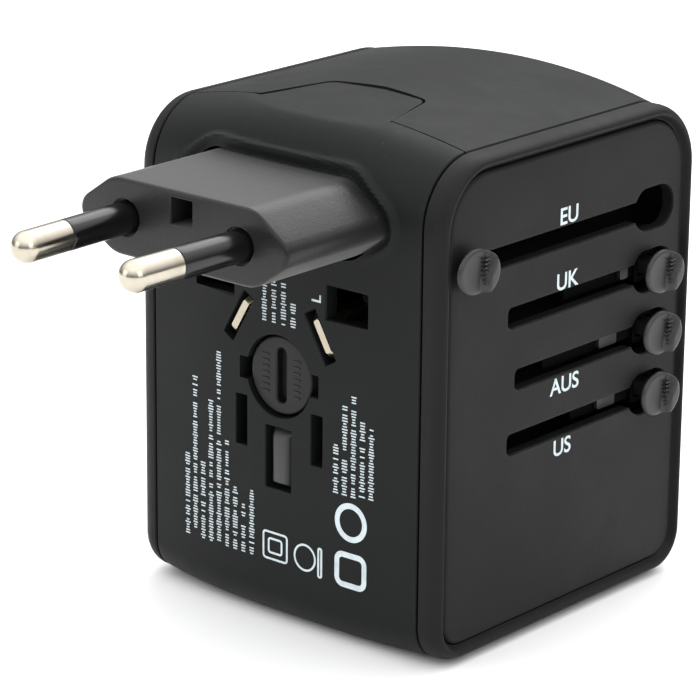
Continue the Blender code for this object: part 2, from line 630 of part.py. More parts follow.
def make_slider_guide():
    """Comb behind the slider panel: each arm runs in the gap between two of its teeth."""
    comb = box("slider_guide", (GUIDE_X0, 19.5, BOARD_Z1 + 0.4), (GUIDE_X1, 21.0, GUIDE_TOP))
    arms = {"us": (25.3, 28.85), "aus": (33.4, 35.8), "uk": (41.7, 46.0)}
    low = BOARD_Z1 + 0.4
    for arm_low, arm_high in [*arms.values(), (GUIDE_TOP + GAP, GUIDE_TOP + GAP)]:
        join(comb, box("tooth", (GUIDE_X0, -19.0, low), (GUIDE_X1, 20.0, arm_low - GAP)))
        low = arm_high + GAP
    finish(comb, DARK_PLASTIC)


# ---------------------------------------------------------------- charger
def make_charger():
    """Charger board with its parts hanging below and four USB sockets that open downwards."""
    board = box("charger_board", (-19.5, -20.0, BOARD_Z0), (19.5, 21.0, BOARD_Z1))
    finish(board, BOARD_GREEN)
    core = box("charger_transformer", (-15.0, -18.0, 4.0), (0.0, -5.0, BOARD_Z0 - GAP))
    cut(core, box("waist", (-20, -20, 6.6), (-13.6, 0, 11.6)), box("waist", (-1.4, -20, 6.6), (5, 0, 11.6)))
    finish(core, YELLOW_TAPE)
    for number, (x, y, radius, low) in enumerate(CAPACITORS, 1):
        can = cylinder(f"charger_capacitor_{number}", "Z", (x, y), radius, low, BOARD_Z0 - GAP, 16)
        finish(can, CAN_BLACK)
    for number, (x, y) in enumerate(((x, y) for y in USB_Y for x in USB_X), 1):
        half_w, half_d = USB_W / 2, USB_D / 2
        port = box(f"usb_socket_{number}", (x - half_w, y - half_d, 0.6), (x + half_w, y + half_d, USB_TOP))
        reach_w, reach_d = half_w - 0.4, half_d - 0.35
        cut(port, box("mouth", (x - reach_w, y - reach_d, -1), (x + reach_w, y + reach_d, 13.5)))
        join(port, box("tongue", (x - 5.6, y + 0.15, 5.4), (x + 5.6, y + 2.0, 13.8)))
        finish(port, NICKEL)


def make_screws():
    """Four pan-head screws from the back."""
    top = HEAD_Y + 1.1
    profile = [(0.3, -12.0), (1.0, -11.0), (1.0, HEAD_Y), (1.9, HEAD_Y), (1.9, top - 0.4), (1.4, top)]
    places = [(x, z) for z in SCREW_Z for x in (-SCREW_X, SCREW_X)]
    for number, (x, z) in enumerate(places, 1):
        screw = turned(f"case_screw_{number}", (x, z), profile, 12)
        cut(screw, box("cross", (x - 1.1, top - 0.6, z - 0.25), (x + 1.1, top + 1, z + 0.25)))
        cut(screw, box("cross", (x - 0.25, top - 0.6, z - 1.1), (x + 0.25, top + 1, z + 1.1)))
        finish(screw, STEEL)


# ---------------------------------------------------------------- materials and assembly
BLACK = material("black_plastic", (0.030, 0.031, 0.033), 0.50)
SATIN_BLACK = material("plug_black", (0.040, 0.040, 0.042), 0.42)
SLEEVE_BLACK = material("sleeve_black", (0.012, 0.012, 0.014), 0.25)
KNOB_GREY = material("knob_grey", (0.070, 0.070, 0.074), 0.40)
DARK_PLASTIC = material("dark_plastic", (0.020, 0.020, 0.022), 0.45)
NICKEL = material("nickel", (0.78, 0.74, 0.66), 0.22, 1.0)
STEEL = material("steel", (0.55, 0.56, 0.58), 0.30, 1.0)
BRASS = material("brass", (0.78, 0.58, 0.28), 0.30, 1.0)
GLASS = material("fuse_glass", (0.80, 0.85, 0.85), 0.05)
BOARD_GREEN = material("board_green", (0.02, 0.16, 0.06), 0.45)
YELLOW_TAPE = material("coil_tape", (0.75, 0.55, 0.08), 0.45)
CAN_BLACK = material("can_sleeve", (0.03, 0.03, 0.05), 0.35)

make_front_shell()
make_rear_shell()
make_side(1, "right")
make_side(-1, "left")
make_eu_plug()
make_uk_plug()
make_aus_plug()
make_us_plug()
make_fuse()
make_socket()
make_slider_guide()
make_charger()
make_screws()
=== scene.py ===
"""Looks of a universal travel adapter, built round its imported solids.

The plug face looks along -Y, the socket face along +Y, the sliders are on +X and the USB
sockets open downwards. Shapes are worked out in millimetres and turned into metres where
a mesh is made.
"""

import json
from math import atan2, cos, exp, hypot, log, pi, radians, sin, sqrt

import bmesh
import bpy
from mathutils import Matrix, Vector

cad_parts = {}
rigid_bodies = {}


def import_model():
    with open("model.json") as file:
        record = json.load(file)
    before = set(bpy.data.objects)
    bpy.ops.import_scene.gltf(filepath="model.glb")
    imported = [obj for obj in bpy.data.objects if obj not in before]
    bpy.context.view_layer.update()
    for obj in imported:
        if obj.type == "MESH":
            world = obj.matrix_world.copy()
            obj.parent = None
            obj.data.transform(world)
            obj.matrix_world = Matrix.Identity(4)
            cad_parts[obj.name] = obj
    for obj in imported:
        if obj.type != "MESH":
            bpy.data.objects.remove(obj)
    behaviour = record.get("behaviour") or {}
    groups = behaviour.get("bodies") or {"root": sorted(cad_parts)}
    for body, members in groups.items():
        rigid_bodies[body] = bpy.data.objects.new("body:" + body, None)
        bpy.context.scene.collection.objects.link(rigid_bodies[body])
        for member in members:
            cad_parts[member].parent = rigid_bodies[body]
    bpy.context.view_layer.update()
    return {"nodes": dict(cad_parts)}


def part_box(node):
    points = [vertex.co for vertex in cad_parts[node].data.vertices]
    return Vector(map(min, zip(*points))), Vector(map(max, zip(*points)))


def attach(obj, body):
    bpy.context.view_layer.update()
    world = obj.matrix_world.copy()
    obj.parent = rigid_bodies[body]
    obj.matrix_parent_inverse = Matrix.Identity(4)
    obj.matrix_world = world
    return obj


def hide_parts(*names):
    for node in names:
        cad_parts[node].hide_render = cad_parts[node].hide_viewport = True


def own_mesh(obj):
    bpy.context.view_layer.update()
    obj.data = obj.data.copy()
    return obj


for old in list(bpy.data.objects):
    bpy.data.objects.remove(old, do_unlink=True)

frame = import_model()
NODES = frame["nodes"]

MM = 0.001
GAP = 0.3  # clearance between neighbouring pieces


def span(node):
    """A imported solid's lowest and highest corners in millimetres."""
    low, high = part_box(node)
    return low / MM, high / MM


def middle(node):
    low, high = span(node)
    return (low + high) / 2


# Housing
HALF_W = span("right_side_frame")[1].x
HALF_D = span("rear_shell")[1].y
HEIGHT = span("rear_shell")[1].z
SEAM_X = span("front_shell")[1].x + GAP / 2
SEAM_Y = -17.5
SHELL_EDGE, SEAM_SOFT = SEAM_X - GAP / 2, 0.15  # where the shells end, and how far they draw in there
CORNER_R, FOOT_R = 7.5, 5.0
CROWN_Z, CROWN_FOOT, CROWN_Y, FOOT_HALF = 2.4, 0.6, 0.4, 9.0
WALL = 2.1
TONGUE_ROOT, TONGUE_TIP, TONGUE_END_Y, TONGUE_Z = 10.7, 7.8, -5.9, 66.25
PANEL_X, PANEL_T, PANEL_INSET = span("slider_panel")[1].x, 1.6, 0.35

# Sliders
SLIDERS = ("eu", "uk", "aus", "us")
SLOT_H, LATCH_Y, LATCH_L, LATCH_H = 2.7, 17.6, 8.2, 5.6
SLOT_FRONT = {"eu": -21.9, "uk": -12.1, "aus": -10.5, "us": -11.8}
SLIDER_Z = {key: middle(key + "_knob").z for key in SLIDERS}

# Plug face
UK_X, UK_Z = middle("uk_pin_line").x, middle("uk_pin_line").z
UK_EARTH_Z = middle("uk_earth_pin").z
US_X, US_Z = middle("us_blade_right").x, middle("us_blade_right").z
AUS_X, AUS_Z, AUS_LEAN = middle("aus_blade_right").x, middle("aus_blade_right").z, radians(30)
FUSE_Z = middle("fuse_glass").z
UK_HOLE, UK_EARTH_HOLE, US_HOLE, AUS_HOLE = (6.7, 4.3), (4.3, 8.3), (1.9, 6.7), (1.9, 7.0)
FUSE_BORE_R, CAP_R = 5.4, 5.1

# European plug
EU_LOW, EU_HIGH = span("eu_plug_body")
EU_Z, EU_HALF_W, EU_HALF_H = (EU_LOW.z + EU_HIGH.z) / 2, EU_HIGH.x, (EU_HIGH.z - EU_LOW.z) / 2
EU_FLAT, EU_NOSE_R, EU_SHOULDER_R = 11.6, 2.1, 4.5
EU_FRONT, EU_REAR = EU_LOW.y, EU_HIGH.y
EU_PIN_R, EU_PIN_BASE_X, EU_PIN_TIP_X = 2.0, 9.3, 8.8
EU_TIP, EU_SLEEVE_END = span("eu_pin_left")[0].y, -54.1

# Back
SOCKET_Z, SOCKET_EARTH_Z = 21.5, 43.7
WINDOW_HALF, WINDOW_Z0, WINDOW_Z1 = 17.5, 12.6, 48.9
SOCKET_FACE = span("socket_plate")[1].y
SCREWS = [middle(f"case_screw_{number}") for number in range(1, 5)]
PORTS = [middle(f"usb_socket_{number}") for number in range(1, 5)]
SCREW_HEAD_Y = 24.2
PLATE_ROUND_R = 2.45  # round apertures of the socket plate


# ---- mesh work
def own(name, mesh):
    """A new object that holds a mesh, at the origin."""
    made = bpy.data.objects.new(name, mesh)
    bpy.context.scene.collection.objects.link(made)
    return made


def own_shape(name, shape):
    mesh = bpy.data.meshes.new(name)
    shape.to_mesh(mesh)
    shape.free()
    return own(name, mesh)


def from_bmesh(name, shape):
    """An object from a shape in millimetres, with its faces turned outwards."""
    bmesh.ops.recalc_face_normals(shape, faces=shape.faces)
    bmesh.ops.scale(shape, vec=(MM, MM, MM), verts=shape.verts)
    return own_shape(name, shape)


def skin(name, rings, closed=False):
    """A surface over rings of points; a closed one meets its own start, an open one gets end faces."""
    shape = bmesh.new()
    rows = [[shape.verts.new(point) for point in ring] for ring in rings]
    count = len(rows[0])
    for near, far in zip(rows, rows[1:] + rows[:1] if closed else rows[1:]):
        for i in range(count):
            j = (i + 1) % count
            shape.faces.new((near[i], near[j], far[j], far[i]))
    if not closed:
        shape.faces.new(rows[0])
        shape.faces.new(rows[-1])
    return from_bmesh(name, shape)


def on_axis(axis, a, b, height):
    """A point from an outline's two numbers, (y, z) for X, (x, z) for Y and (x, y) for Z."""
    return {"X": (height, a, b), "Y": (a, height, b), "Z": (a, b, height)}[axis]


def steps_of(name, axis, levels):
    """A solid over outlines at rising heights; levels lists (outline, height)."""
    return skin(name, [[on_axis(axis, a, b, height) for a, b in outline] for outline, height in levels])


def prism(name, outline, axis, low, high):
    """An outline carried straight along an axis."""
    return steps_of(name, axis, [(outline, low), (outline, high)])


def circle(a, b, radius, sides=48):
    angles = [2 * pi * i / sides for i in range(sides)]
    return [(a + radius * cos(t), b + radius * sin(t)) for t in angles]


def quarter(steps):
    """Angles from zero up to a right angle."""
    return [i / steps * pi / 2 for i in range(steps + 1)]


def fillet(radius, steps):
    """A rounded edge as pairs (how far in, how far below the top), from its side to its top."""
    return [(radius * (1 - cos(t)), radius * (1 - sin(t))) for t in quarter(steps)]


def turned(name, axis, centre, profile, sides=48):
    """A turned solid; the profile lists (radius, height along the axis)."""
    return steps_of(name, axis, [(circle(*centre, radius, sides), height) for radius, height in profile])


def box(name, low, high):
    outline = [(low[0], low[1]), (high[0], low[1]), (high[0], high[1]), (low[0], high[1])]
    return prism(name, outline, "Z", low[2], high[2])


def rounded(a0, b0, a1, b1, radius, steps=8, first=(), second=(), low_radius=None):
    """A rectangle with round corners; the two at b0 may have their own radius.

    first and second are extra stops along its far and near sides.
    """
    low_radius = radius if low_radius is None else low_radius
    points = []
    for a, b, quarter, r in ((a1, b1, 0, radius), (a0, b1, 1, radius), (a0, b0, 2, low_radius),
                             (a1, b0, 3, low_radius)):
        ca = a - r if a == a1 else a + r
        cb = b - r if b == b1 else b + r
        for i in range(steps + 1):
            t = (quarter + i / steps) * pi / 2
            points.append((ca + r * cos(t), cb + r * sin(t)))
        if quarter == 0:
            points += [(stop, b1) for stop in first]
        if quarter == 1:
            points += [(a0, stop) for stop in second]
    return points


def around(a, b, half_a, half_b, radius, steps=8):
    """A rectangle with round corners about its centre."""
    return rounded(a - half_a, b - half_b, a + half_a, b + half_b, radius, steps)


def bar_outline(centre, width, height, radius, lean=0.0, steps=4):
    """A rectangle with small round corners, leaning sideways by an angle from upright."""
    return [(centre[0] + x * cos(lean) + z * sin(lean), centre[1] - x * sin(lean) + z * cos(lean))
            for x, z in around(0.0, 0.0, width / 2, height / 2, radius, steps)]


def softened(corners, steps=6):
    """A polygon with round corners; corners lists (a, b, radius)."""
    points = []
    count = len(corners)
    for i, (a, b, radius) in enumerate(corners):
        here = Vector((a, b))
        back = (Vector(corners[i - 1][:2]) - here).normalized()
        on = (Vector(corners[(i + 1) % count][:2]) - here).normalized()
        half = back.angle(on) / 2
        reach = radius / max(1e-6, sin(half))
        centre = here + (back + on).normalized() * reach
        start = here + back * reach * cos(half) - centre
        turn = start.angle_signed(here + on * reach * cos(half) - centre)
        for step in range(steps + 1):
            t = -turn * step / steps
            points.append((centre.x + start.x * cos(t) - start.y * sin(t),
                           centre.y + start.x * sin(t) + start.y * cos(t)))
    return points


def drawn(source):
    """The mesh that an object's modifiers or curve settings make of it."""
    bpy.context.view_layer.update()
    seen = source.evaluated_get(bpy.context.evaluated_depsgraph_get())
    return bpy.data.meshes.new_from_object(seen)


def from_curve(name, curve):
    """The mesh that a curve draws; nothing else of the curve stays in the scene."""
    guide = own(name, curve)
    mesh = drawn(guide)
    bpy.data.objects.remove(guide, do_unlink=True)
    return mesh


def bake(target):
    """Replaces an object's mesh by what its modifiers make of it."""
    mesh = drawn(target)
    target.modifiers.clear()
    target.data = mesh


def work(target, operation, tools):
    """One boolean with several tools at once."""
    group = bpy.data.collections.new("tools")
    bpy.context.scene.collection.children.link(group)
    for tool in tools:
        bpy.context.scene.collection.objects.unlink(tool)
        group.objects.link(tool)
    change = target.modifiers.new("work", "BOOLEAN")
    change.operation = operation
    change.solver = "EXACT"
    change.operand_type = "COLLECTION"
    change.collection = group
    bake(target)
    for tool in tools:
        bpy.data.objects.remove(tool, do_unlink=True)
    bpy.data.collections.remove(group)


def cut(target, *tools):
    work(target, "DIFFERENCE", tools)


def join(target, *tools):
    work(target, "UNION", tools)


def keep(target, tool):
    work(target, "INTERSECT", [tool])


def gather(name, pieces):
    """Several separate bodies in one object."""
    shape = bmesh.new()
    for part in pieces:
        shape.from_mesh(part.data)
        bpy.data.objects.remove(part, do_unlink=True)
    return own_shape(name, shape)


def settle(piece, look, body, slot, replaces=(), angle=32):
    """Finishes a piece: material, smooth faces, the body it rides on and the solids it stands for."""
    piece.data.materials.clear()
    piece.data.materials.append(look)
    piece.data.shade_smooth()
    piece.data.set_sharp_from_angle(angle=radians(angle))
    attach(piece, body)
    if replaces:
        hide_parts(*replaces)


# ---- shader groups
def group_tree(name, inputs, outputs):
    """An empty shader node group; inputs and outputs list (name, socket type, start value)."""
    tree = bpy.data.node_groups.new(name, "ShaderNodeTree")
    for direction, sockets in (("INPUT", inputs), ("OUTPUT", outputs)):
        for title, kind, value in sockets:
            socket = tree.interface.new_socket(title, in_out=direction, socket_type="NodeSocket" + kind)
            if value is not None:
                socket.default_value = value
    return tree, tree.nodes.new("NodeGroupInput"), tree.nodes.new("NodeGroupOutput")


def node(tree, kind, settings=None, **inputs):
    """A node with its properties and its inputs, which are values or another node's output."""
    made = tree.nodes.new(kind)
    for name, value in (settings or {}).items():
        setattr(made, name, value)
    for name, value in inputs.items():
        key = int(name[1:]) if name[0] == "i" and name[1:].isdigit() else name.replace("_", " ")
        if isinstance(value, bpy.types.NodeSocket):
            tree.links.new(value, made.inputs[key])
        else:
            made.inputs[key].default_value = value
    return made


def mix(tree, share, low, high):
    """A colour between two others."""
    return node(tree, "ShaderNodeMix", {"data_type": "RGBA"}, i0=share, i6=low, i7=high).outputs[2]


def span_map(tree, value, low, high, to_low, to_high):
    return node(tree, "ShaderNodeMapRange", {"clamp": True}, Value=value, From_Min=low, From_Max=high,
                To_Min=to_low, To_Max=to_high).outputs[0]


def math(tree, operation, first, second=0.0):
    return node(tree, "ShaderNodeMath", {"operation": operation}, i0=first, i1=second).outputs[0]


def grain_group():
    """Spark-eroded mould grain: a fine height, and slow patches where the gloss changes."""
    tree, start, end = group_tree(
        "mould_grain", [("Scale", "Float", 900.0), ("Patch Scale", "Float", 60.0)],
        [("Height", "Float", None), ("Patch", "Float", None)])
    place = node(tree, "ShaderNodeTexCoord").outputs["Object"]
    fine = node(tree, "ShaderNodeTexNoise", Vector=place, Scale=start.outputs["Scale"], Detail=3.0,
                Roughness=0.6)
    pits = node(tree, "ShaderNodeTexVoronoi", Vector=place, Scale=start.outputs["Scale"])
    patch = node(tree, "ShaderNodeTexNoise", Vector=place, Scale=start.outputs["Patch Scale"], Detail=4.0,
                 Roughness=0.55)
    height = math(tree, "ADD", fine.outputs[0], math(tree, "MULTIPLY", pits.outputs["Distance"], 0.6))
    tree.links.new(height, end.inputs["Height"])
    tree.links.new(patch.outputs[0], end.inputs["Patch"])
    return tree


def wear_group():
    """Edges where handling has polished or lightened the surface, broken up by noise."""
    tree, start, end = group_tree(
        "edge_wear", [("Radius", "Float", 0.0004), ("Break Up", "Float", 700.0)], [("Wear", "Float", None)])
    place = node(tree, "ShaderNodeTexCoord").outputs["Object"]
    bevel = node(tree, "ShaderNodeBevel", {"samples": 4}, Radius=start.outputs["Radius"])
    flat = node(tree, "ShaderNodeNewGeometry").outputs["Normal"]
    facing = node(tree, "ShaderNodeVectorMath", {"operation": "DOT_PRODUCT"}, i0=bevel.outputs[0], i1=flat)
    edge = span_map(tree, facing.outputs["Value"], 0.99, 0.80, 0.0, 1.0)
    noise = node(tree, "ShaderNodeTexNoise", Vector=place, Scale=start.outputs["Break Up"], Detail=2.0)
    spots = span_map(tree, noise.outputs[0], 0.35, 0.65, 0.35, 1.0)
    tree.links.new(math(tree, "MULTIPLY", edge, spots), end.inputs["Wear"])
    return tree


def handling_group():
    """Faint smudges and dust, more of it on faces that look up."""
    tree, start, end = group_tree(
        "handling", [("Scale", "Float", 90.0)], [("Smudge", "Float", None), ("Dust", "Float", None)])
    place = node(tree, "ShaderNodeTexCoord").outputs["Object"]
    smear = node(tree, "ShaderNodeTexNoise", Vector=place, Scale=start.outputs["Scale"], Detail=5.0,
                 Roughness=0.7, Distortion=0.8)
    up = node(tree, "ShaderNodeSeparateXYZ", Vector=node(tree, "ShaderNodeNewGeometry").outputs["Normal"])
    specks = node(tree, "ShaderNodeTexNoise", Vector=place, Scale=2600.0, Detail=1.0)
    speck = span_map(tree, specks.outputs[0], 0.70, 0.80, 0.0, 1.0)
    dust = math(tree, "MULTIPLY", speck, span_map(tree, up.outputs["Z"], 0.2, 1.0, 0.15, 1.0))
    tree.links.new(span_map(tree, smear.outputs[0], 0.45, 0.72, 0.0, 1.0), end.inputs["Smudge"])
    tree.links.new(dust, end.inputs["Dust"])
    return tree


def scratch_group():
    """Fine drawn lines along Y and slow patches of tarnish, for plated metal."""
    tree, start, end = group_tree(
        "drawn_lines", [("Fineness", "Float", 1800.0)],
        [("Lines", "Float", None), ("Tarnish", "Float", None)])
    place = node(tree, "ShaderNodeTexCoord").outputs["Object"]
    long = node(tree, "ShaderNodeMapping", Vector=place, Scale=(1.0, 0.06, 1.0)).outputs[0]
    lines = node(tree, "ShaderNodeTexNoise", Vector=long, Scale=start.outputs["Fineness"], Detail=2.0)
    tarnish = node(tree, "ShaderNodeTexNoise", Vector=place, Scale=260.0, Detail=5.0, Roughness=0.65)
    tree.links.new(lines.outputs[0], end.inputs["Lines"])
    tree.links.new(span_map(tree, tarnish.outputs[0], 0.50, 0.75, 0.0, 1.0), end.inputs["Tarnish"])
    return tree


GRAIN, WEAR, HANDLING, SCRATCH = grain_group(), wear_group(), handling_group(), scratch_group()


def place_group(tree, group, **inputs):
    return node(tree, "ShaderNodeGroup", {"node_tree": group}, **inputs)


# ---- materials
def material(name, roughness, metallic=0.0):
    """A Principled material with constants on its own sockets; returns it with its tree and shader."""
    made = bpy.data.materials.new(name)
    made.use_nodes = True
    shader = made.node_tree.nodes["Principled BSDF"]
    shader.inputs["Roughness"].default_value = roughness
    shader.inputs["Metallic"].default_value = metallic
    return made, made.node_tree, shader


def shade(colour, factor, plus=0.0):
    """A colour made darker or lighter, with its alpha."""
    return (*(min(1.0, factor * c + plus) for c in colour), 1.0)


def connect(tree, shader, base, gloss, height=None, strength=0.0, distance=0.0):
    """Links a material's colour, roughness and bump height to its shader."""
    tree.links.new(base, shader.inputs["Base Color"])
    tree.links.new(gloss, shader.inputs["Roughness"])
    if height is not None:
        bump = node(tree, "ShaderNodeBump", Strength=strength, Distance=distance, Height=height)
        tree.links.new(bump.outputs[0], shader.inputs["Normal"])


DUST_COLOUR = (0.42, 0.41, 0.39, 1.0)


def plastic(name, colour, roughness, grain=1400.0, depth=0.03, wear=0.35, dust=0.25, specular=0.5,
            sheen=0.0):
    """Injection-moulded plastic with spark grain, rubbed edges, smudges and a little dust."""
    made, tree, shader = material(name, roughness)
    shader.inputs["Specular IOR Level"].default_value = specular
    shader.inputs["Sheen Weight"].default_value = sheen
    shader.inputs["Sheen Roughness"].default_value = 0.4
    texture = place_group(tree, GRAIN, Scale=grain, Patch_Scale=55.0)
    worn = place_group(tree, WEAR, Radius=0.00035, Break_Up=900.0)
    hands = place_group(tree, HANDLING, Scale=80.0)
    patches = span_map(tree, texture.outputs["Patch"], 0.3, 0.7, 0.0, 1.0)
    base = mix(tree, patches, shade(colour, 0.86), shade(colour, 1.14))
    base = mix(tree, math(tree, "MULTIPLY", worn.outputs["Wear"], wear), base, shade(colour, 2.2, 0.02))
    base = mix(tree, math(tree, "MULTIPLY", hands.outputs["Dust"], dust), base, DUST_COLOUR)
    gloss = span_map(tree, texture.outputs["Patch"], 0.3, 0.7, roughness - 0.05, roughness + 0.05)
    gloss = math(tree, "SUBTRACT", gloss, math(tree, "MULTIPLY", hands.outputs["Smudge"], 0.06))
    gloss = math(tree, "SUBTRACT", gloss, math(tree, "MULTIPLY", worn.outputs["Wear"], 0.10))
    connect(tree, shader, base, gloss, texture.outputs["Height"], depth * 10, 0.00003)
    return made


def metal(name, colour, tarnish, roughness):
    """Plated or rolled metal with drawn lines and a little tarnish."""
    made, tree, shader = material(name, roughness, 1.0)
    lines = place_group(tree, SCRATCH, Fineness=1800.0)
    worn = place_group(tree, WEAR, Radius=0.0002, Break_Up=1500.0)
    stained = math(tree, "MULTIPLY", lines.outputs["Tarnish"], 0.35)
    base = mix(tree, stained, (*colour, 1.0), (*tarnish, 1.0))
    base = mix(tree, math(tree, "MULTIPLY", worn.outputs["Wear"], 0.5), base, shade(colour, 1.12))
    gloss = span_map(tree, lines.outputs["Lines"], 0.3, 0.7, roughness * 0.75, roughness * 1.3)
    gloss = math(tree, "ADD", gloss, math(tree, "MULTIPLY", lines.outputs["Tarnish"], 0.08))
    connect(tree, shader, base, gloss, lines.outputs["Lines"], 0.15, 0.00001)
    return made


def ink(name, colour):
    """Pad-printed ink: slightly uneven cover and a dull sheen."""
    made, tree, shader = material(name, 0.5)
    texture = place_group(tree, GRAIN, Scale=2200.0, Patch_Scale=900.0)
    cover = span_map(tree, texture.outputs["Patch"], 0.3, 0.6, 0.0, 1.0)
    base = mix(tree, cover, shade(colour, 0.82), (*colour, 1.0))
    gloss = span_map(tree, cover, 0.0, 1.0, 0.6, 0.45)
    connect(tree, shader, base, gloss, texture.outputs["Height"], 0.2, 0.00002)
    return made


def glass(name):
    """Clear fuse tube with faint streaks."""
    made, tree, shader = material(name, 0.05)
    shader.inputs["Transmission Weight"].default_value = 1.0
    shader.inputs["IOR"].default_value = 1.47
    lines = place_group(tree, SCRATCH, Fineness=900.0)
    tint = mix(tree, lines.outputs["Lines"], (0.90, 0.96, 0.94, 1.0), (1.0, 1.0, 1.0, 1.0))
    connect(tree, shader, tint, span_map(tree, lines.outputs["Lines"], 0.3, 0.7, 0.02, 0.09))
    return made


def laminate(name):
    """Green solder mask over woven glass, with copper lines that show as raised bands."""
    made, tree, shader = material(name, 0.35)
    place = node(tree, "ShaderNodeTexCoord").outputs["Object"]
    tracks = node(tree, "ShaderNodeTexBrick", Vector=place, Scale=120.0, Mortar_Size=0.03,
                  Color1=(0.012, 0.10, 0.035, 1.0), Color2=(0.016, 0.13, 0.045, 1.0),
                  Mortar=(0.05, 0.26, 0.10, 1.0))
    weave = place_group(tree, GRAIN, Scale=1500.0, Patch_Scale=200.0)
    base = mix(tree, math(tree, "MULTIPLY", weave.outputs["Patch"], 0.3), tracks.outputs["Color"],
               (0.02, 0.07, 0.03, 1.0))
    gloss = span_map(tree, weave.outputs["Patch"], 0.3, 0.7, 0.28, 0.42)
    connect(tree, shader, base, gloss, tracks.outputs["Fac"], 0.3, 0.00003)
    return made


BLACK = plastic("black_plastic", (0.0075, 0.0082, 0.0085), 0.52, depth=0.04, dust=0.05, specular=0.13)
SIDE_BLACK = plastic("side_black", (0.0085, 0.0085, 0.0088), 0.55, depth=0.04, dust=0.05, specular=0.15)
SATIN = plastic("plug_black", (0.006, 0.006, 0.0065), 0.34, grain=2400.0, depth=0.06, dust=0.1, specular=0.27,
                sheen=0.32)
SLEEVE = plastic("sleeve_black", (0.004, 0.004, 0.0045), 0.24, grain=900.0, depth=0.01, wear=0.15, dust=0.1)
KNOB = plastic("knob_grey", (0.015, 0.015, 0.016), 0.42, grain=2000.0, depth=0.02, wear=0.5)
DARK = plastic("dark_plastic", (0.006, 0.006, 0.0065), 0.48, grain=1200.0, depth=0.03, specular=0.3)
GUIDE_GREY = plastic("guide_grey", (0.034, 0.034, 0.036), 0.45, grain=1200.0, depth=0.03)
EARTH = plastic("earth_pin_black", (0.020, 0.020, 0.021), 0.40, grain=1600.0, depth=0.03)
INNER = plastic("inner_black", (0.003, 0.003, 0.0032), 0.7, grain=1200.0, depth=0.03, wear=0.02, dust=0.0,
                specular=0.05)
CAN = plastic("can_sleeve", (0.02, 0.02, 0.04), 0.32, grain=800.0, depth=0.01)
TAPE = plastic("coil_tape", (0.62, 0.40, 0.05), 0.40, grain=700.0, depth=0.04, wear=0.2)
NICKEL = metal("nickel", (0.55, 0.505, 0.42), (0.34, 0.28, 0.20), 0.18)
# A darker copy of the nickel for the Australian blades only: painted shade, which holds back the bright floor
# that their faces would show.
SHADED_NICKEL = metal("shaded_blade_nickel", (0.42, 0.38, 0.30), (0.26, 0.21, 0.15), 0.24)
STEEL = metal("steel", (0.56, 0.57, 0.59), (0.36, 0.34, 0.32), 0.30)
BRASS = metal("brass", (0.80, 0.60, 0.28), (0.42, 0.26, 0.12), 0.28)
COPPER = metal("copper_wire", (0.85, 0.45, 0.28), (0.45, 0.20, 0.12), 0.30)
PRINT = ink("pale_print", (0.60, 0.69, 0.72))
GLASS = glass("fuse_glass")
BOARD = laminate("board_green")


# ---- repeated marks
def tick_tree():
    """Small bars along every edge of a guide mesh, with gaps and uneven heights where wanted."""
    tree = bpy.data.node_groups.new("ticks_along_rows", "GeometryNodeTree")
    for title, kind in (("Geometry", "Geometry"), ("Pitch", "Float"), ("Bar", "Vector"),
                        ("Shortest", "Float"), ("Gaps", "Float"), ("Bulge", "Float"), ("Seed", "Int"),
                        ("Material", "Material")):
        tree.interface.new_socket(title, in_out="INPUT", socket_type="NodeSocket" + kind)
    tree.interface.new_socket("Geometry", in_out="OUTPUT", socket_type="NodeSocketGeometry")
    start, end = tree.nodes.new("NodeGroupInput"), tree.nodes.new("NodeGroupOutput")
    wanted = start.outputs
    path = node(tree, "GeometryNodeMeshToCurve", Mesh=wanted["Geometry"])
    stops = node(tree, "GeometryNodeResampleCurve", {"mode": "LENGTH"}, Curve=path.outputs[0],
                 Length=wanted["Pitch"])
    bar = node(tree, "GeometryNodeMeshCube", Size=wanted["Bar"])
    shown = node(tree, "FunctionNodeRandomValue", {"data_type": "BOOLEAN"}, Probability=wanted["Gaps"],
                 Seed=wanted["Seed"])
    tall = node(tree, "FunctionNodeRandomValue", {"data_type": "FLOAT"}, i2=wanted["Shortest"], i3=1.0,
                Seed=wanted["Seed"])
    size = node(tree, "ShaderNodeCombineXYZ", X=tall.outputs[1], Y=1.0, Z=1.0)
    hidden = node(tree, "FunctionNodeBooleanMath", {"operation": "NOT"}, i0=shown.outputs[3])
    bars = node(tree, "GeometryNodeInstanceOnPoints", Points=stops.outputs[0], Instance=bar.outputs["Mesh"],
                Selection=hidden.outputs[0], Scale=size.outputs[0])
    solid = node(tree, "GeometryNodeRealizeInstances", Geometry=bars.outputs[0])
    spot = tree.nodes.new("GeometryNodeInputPosition").outputs[0]
    across = node(tree, "ShaderNodeSeparateXYZ", Vector=spot)
    square = math(tree, "MULTIPLY", across.outputs["X"], across.outputs["X"])
    lift = node(tree, "ShaderNodeCombineXYZ", Y=math(tree, "MULTIPLY", square, wanted["Bulge"]))
    moved = node(tree, "GeometryNodeSetPosition", Geometry=solid.outputs[0], Offset=lift.outputs[0])
    painted = node(tree, "GeometryNodeSetMaterial", Geometry=moved.outputs[0], Material=wanted["Material"])
    tree.links.new(painted.outputs[0], end.inputs[0])
    return tree


TICKS = tick_tree()


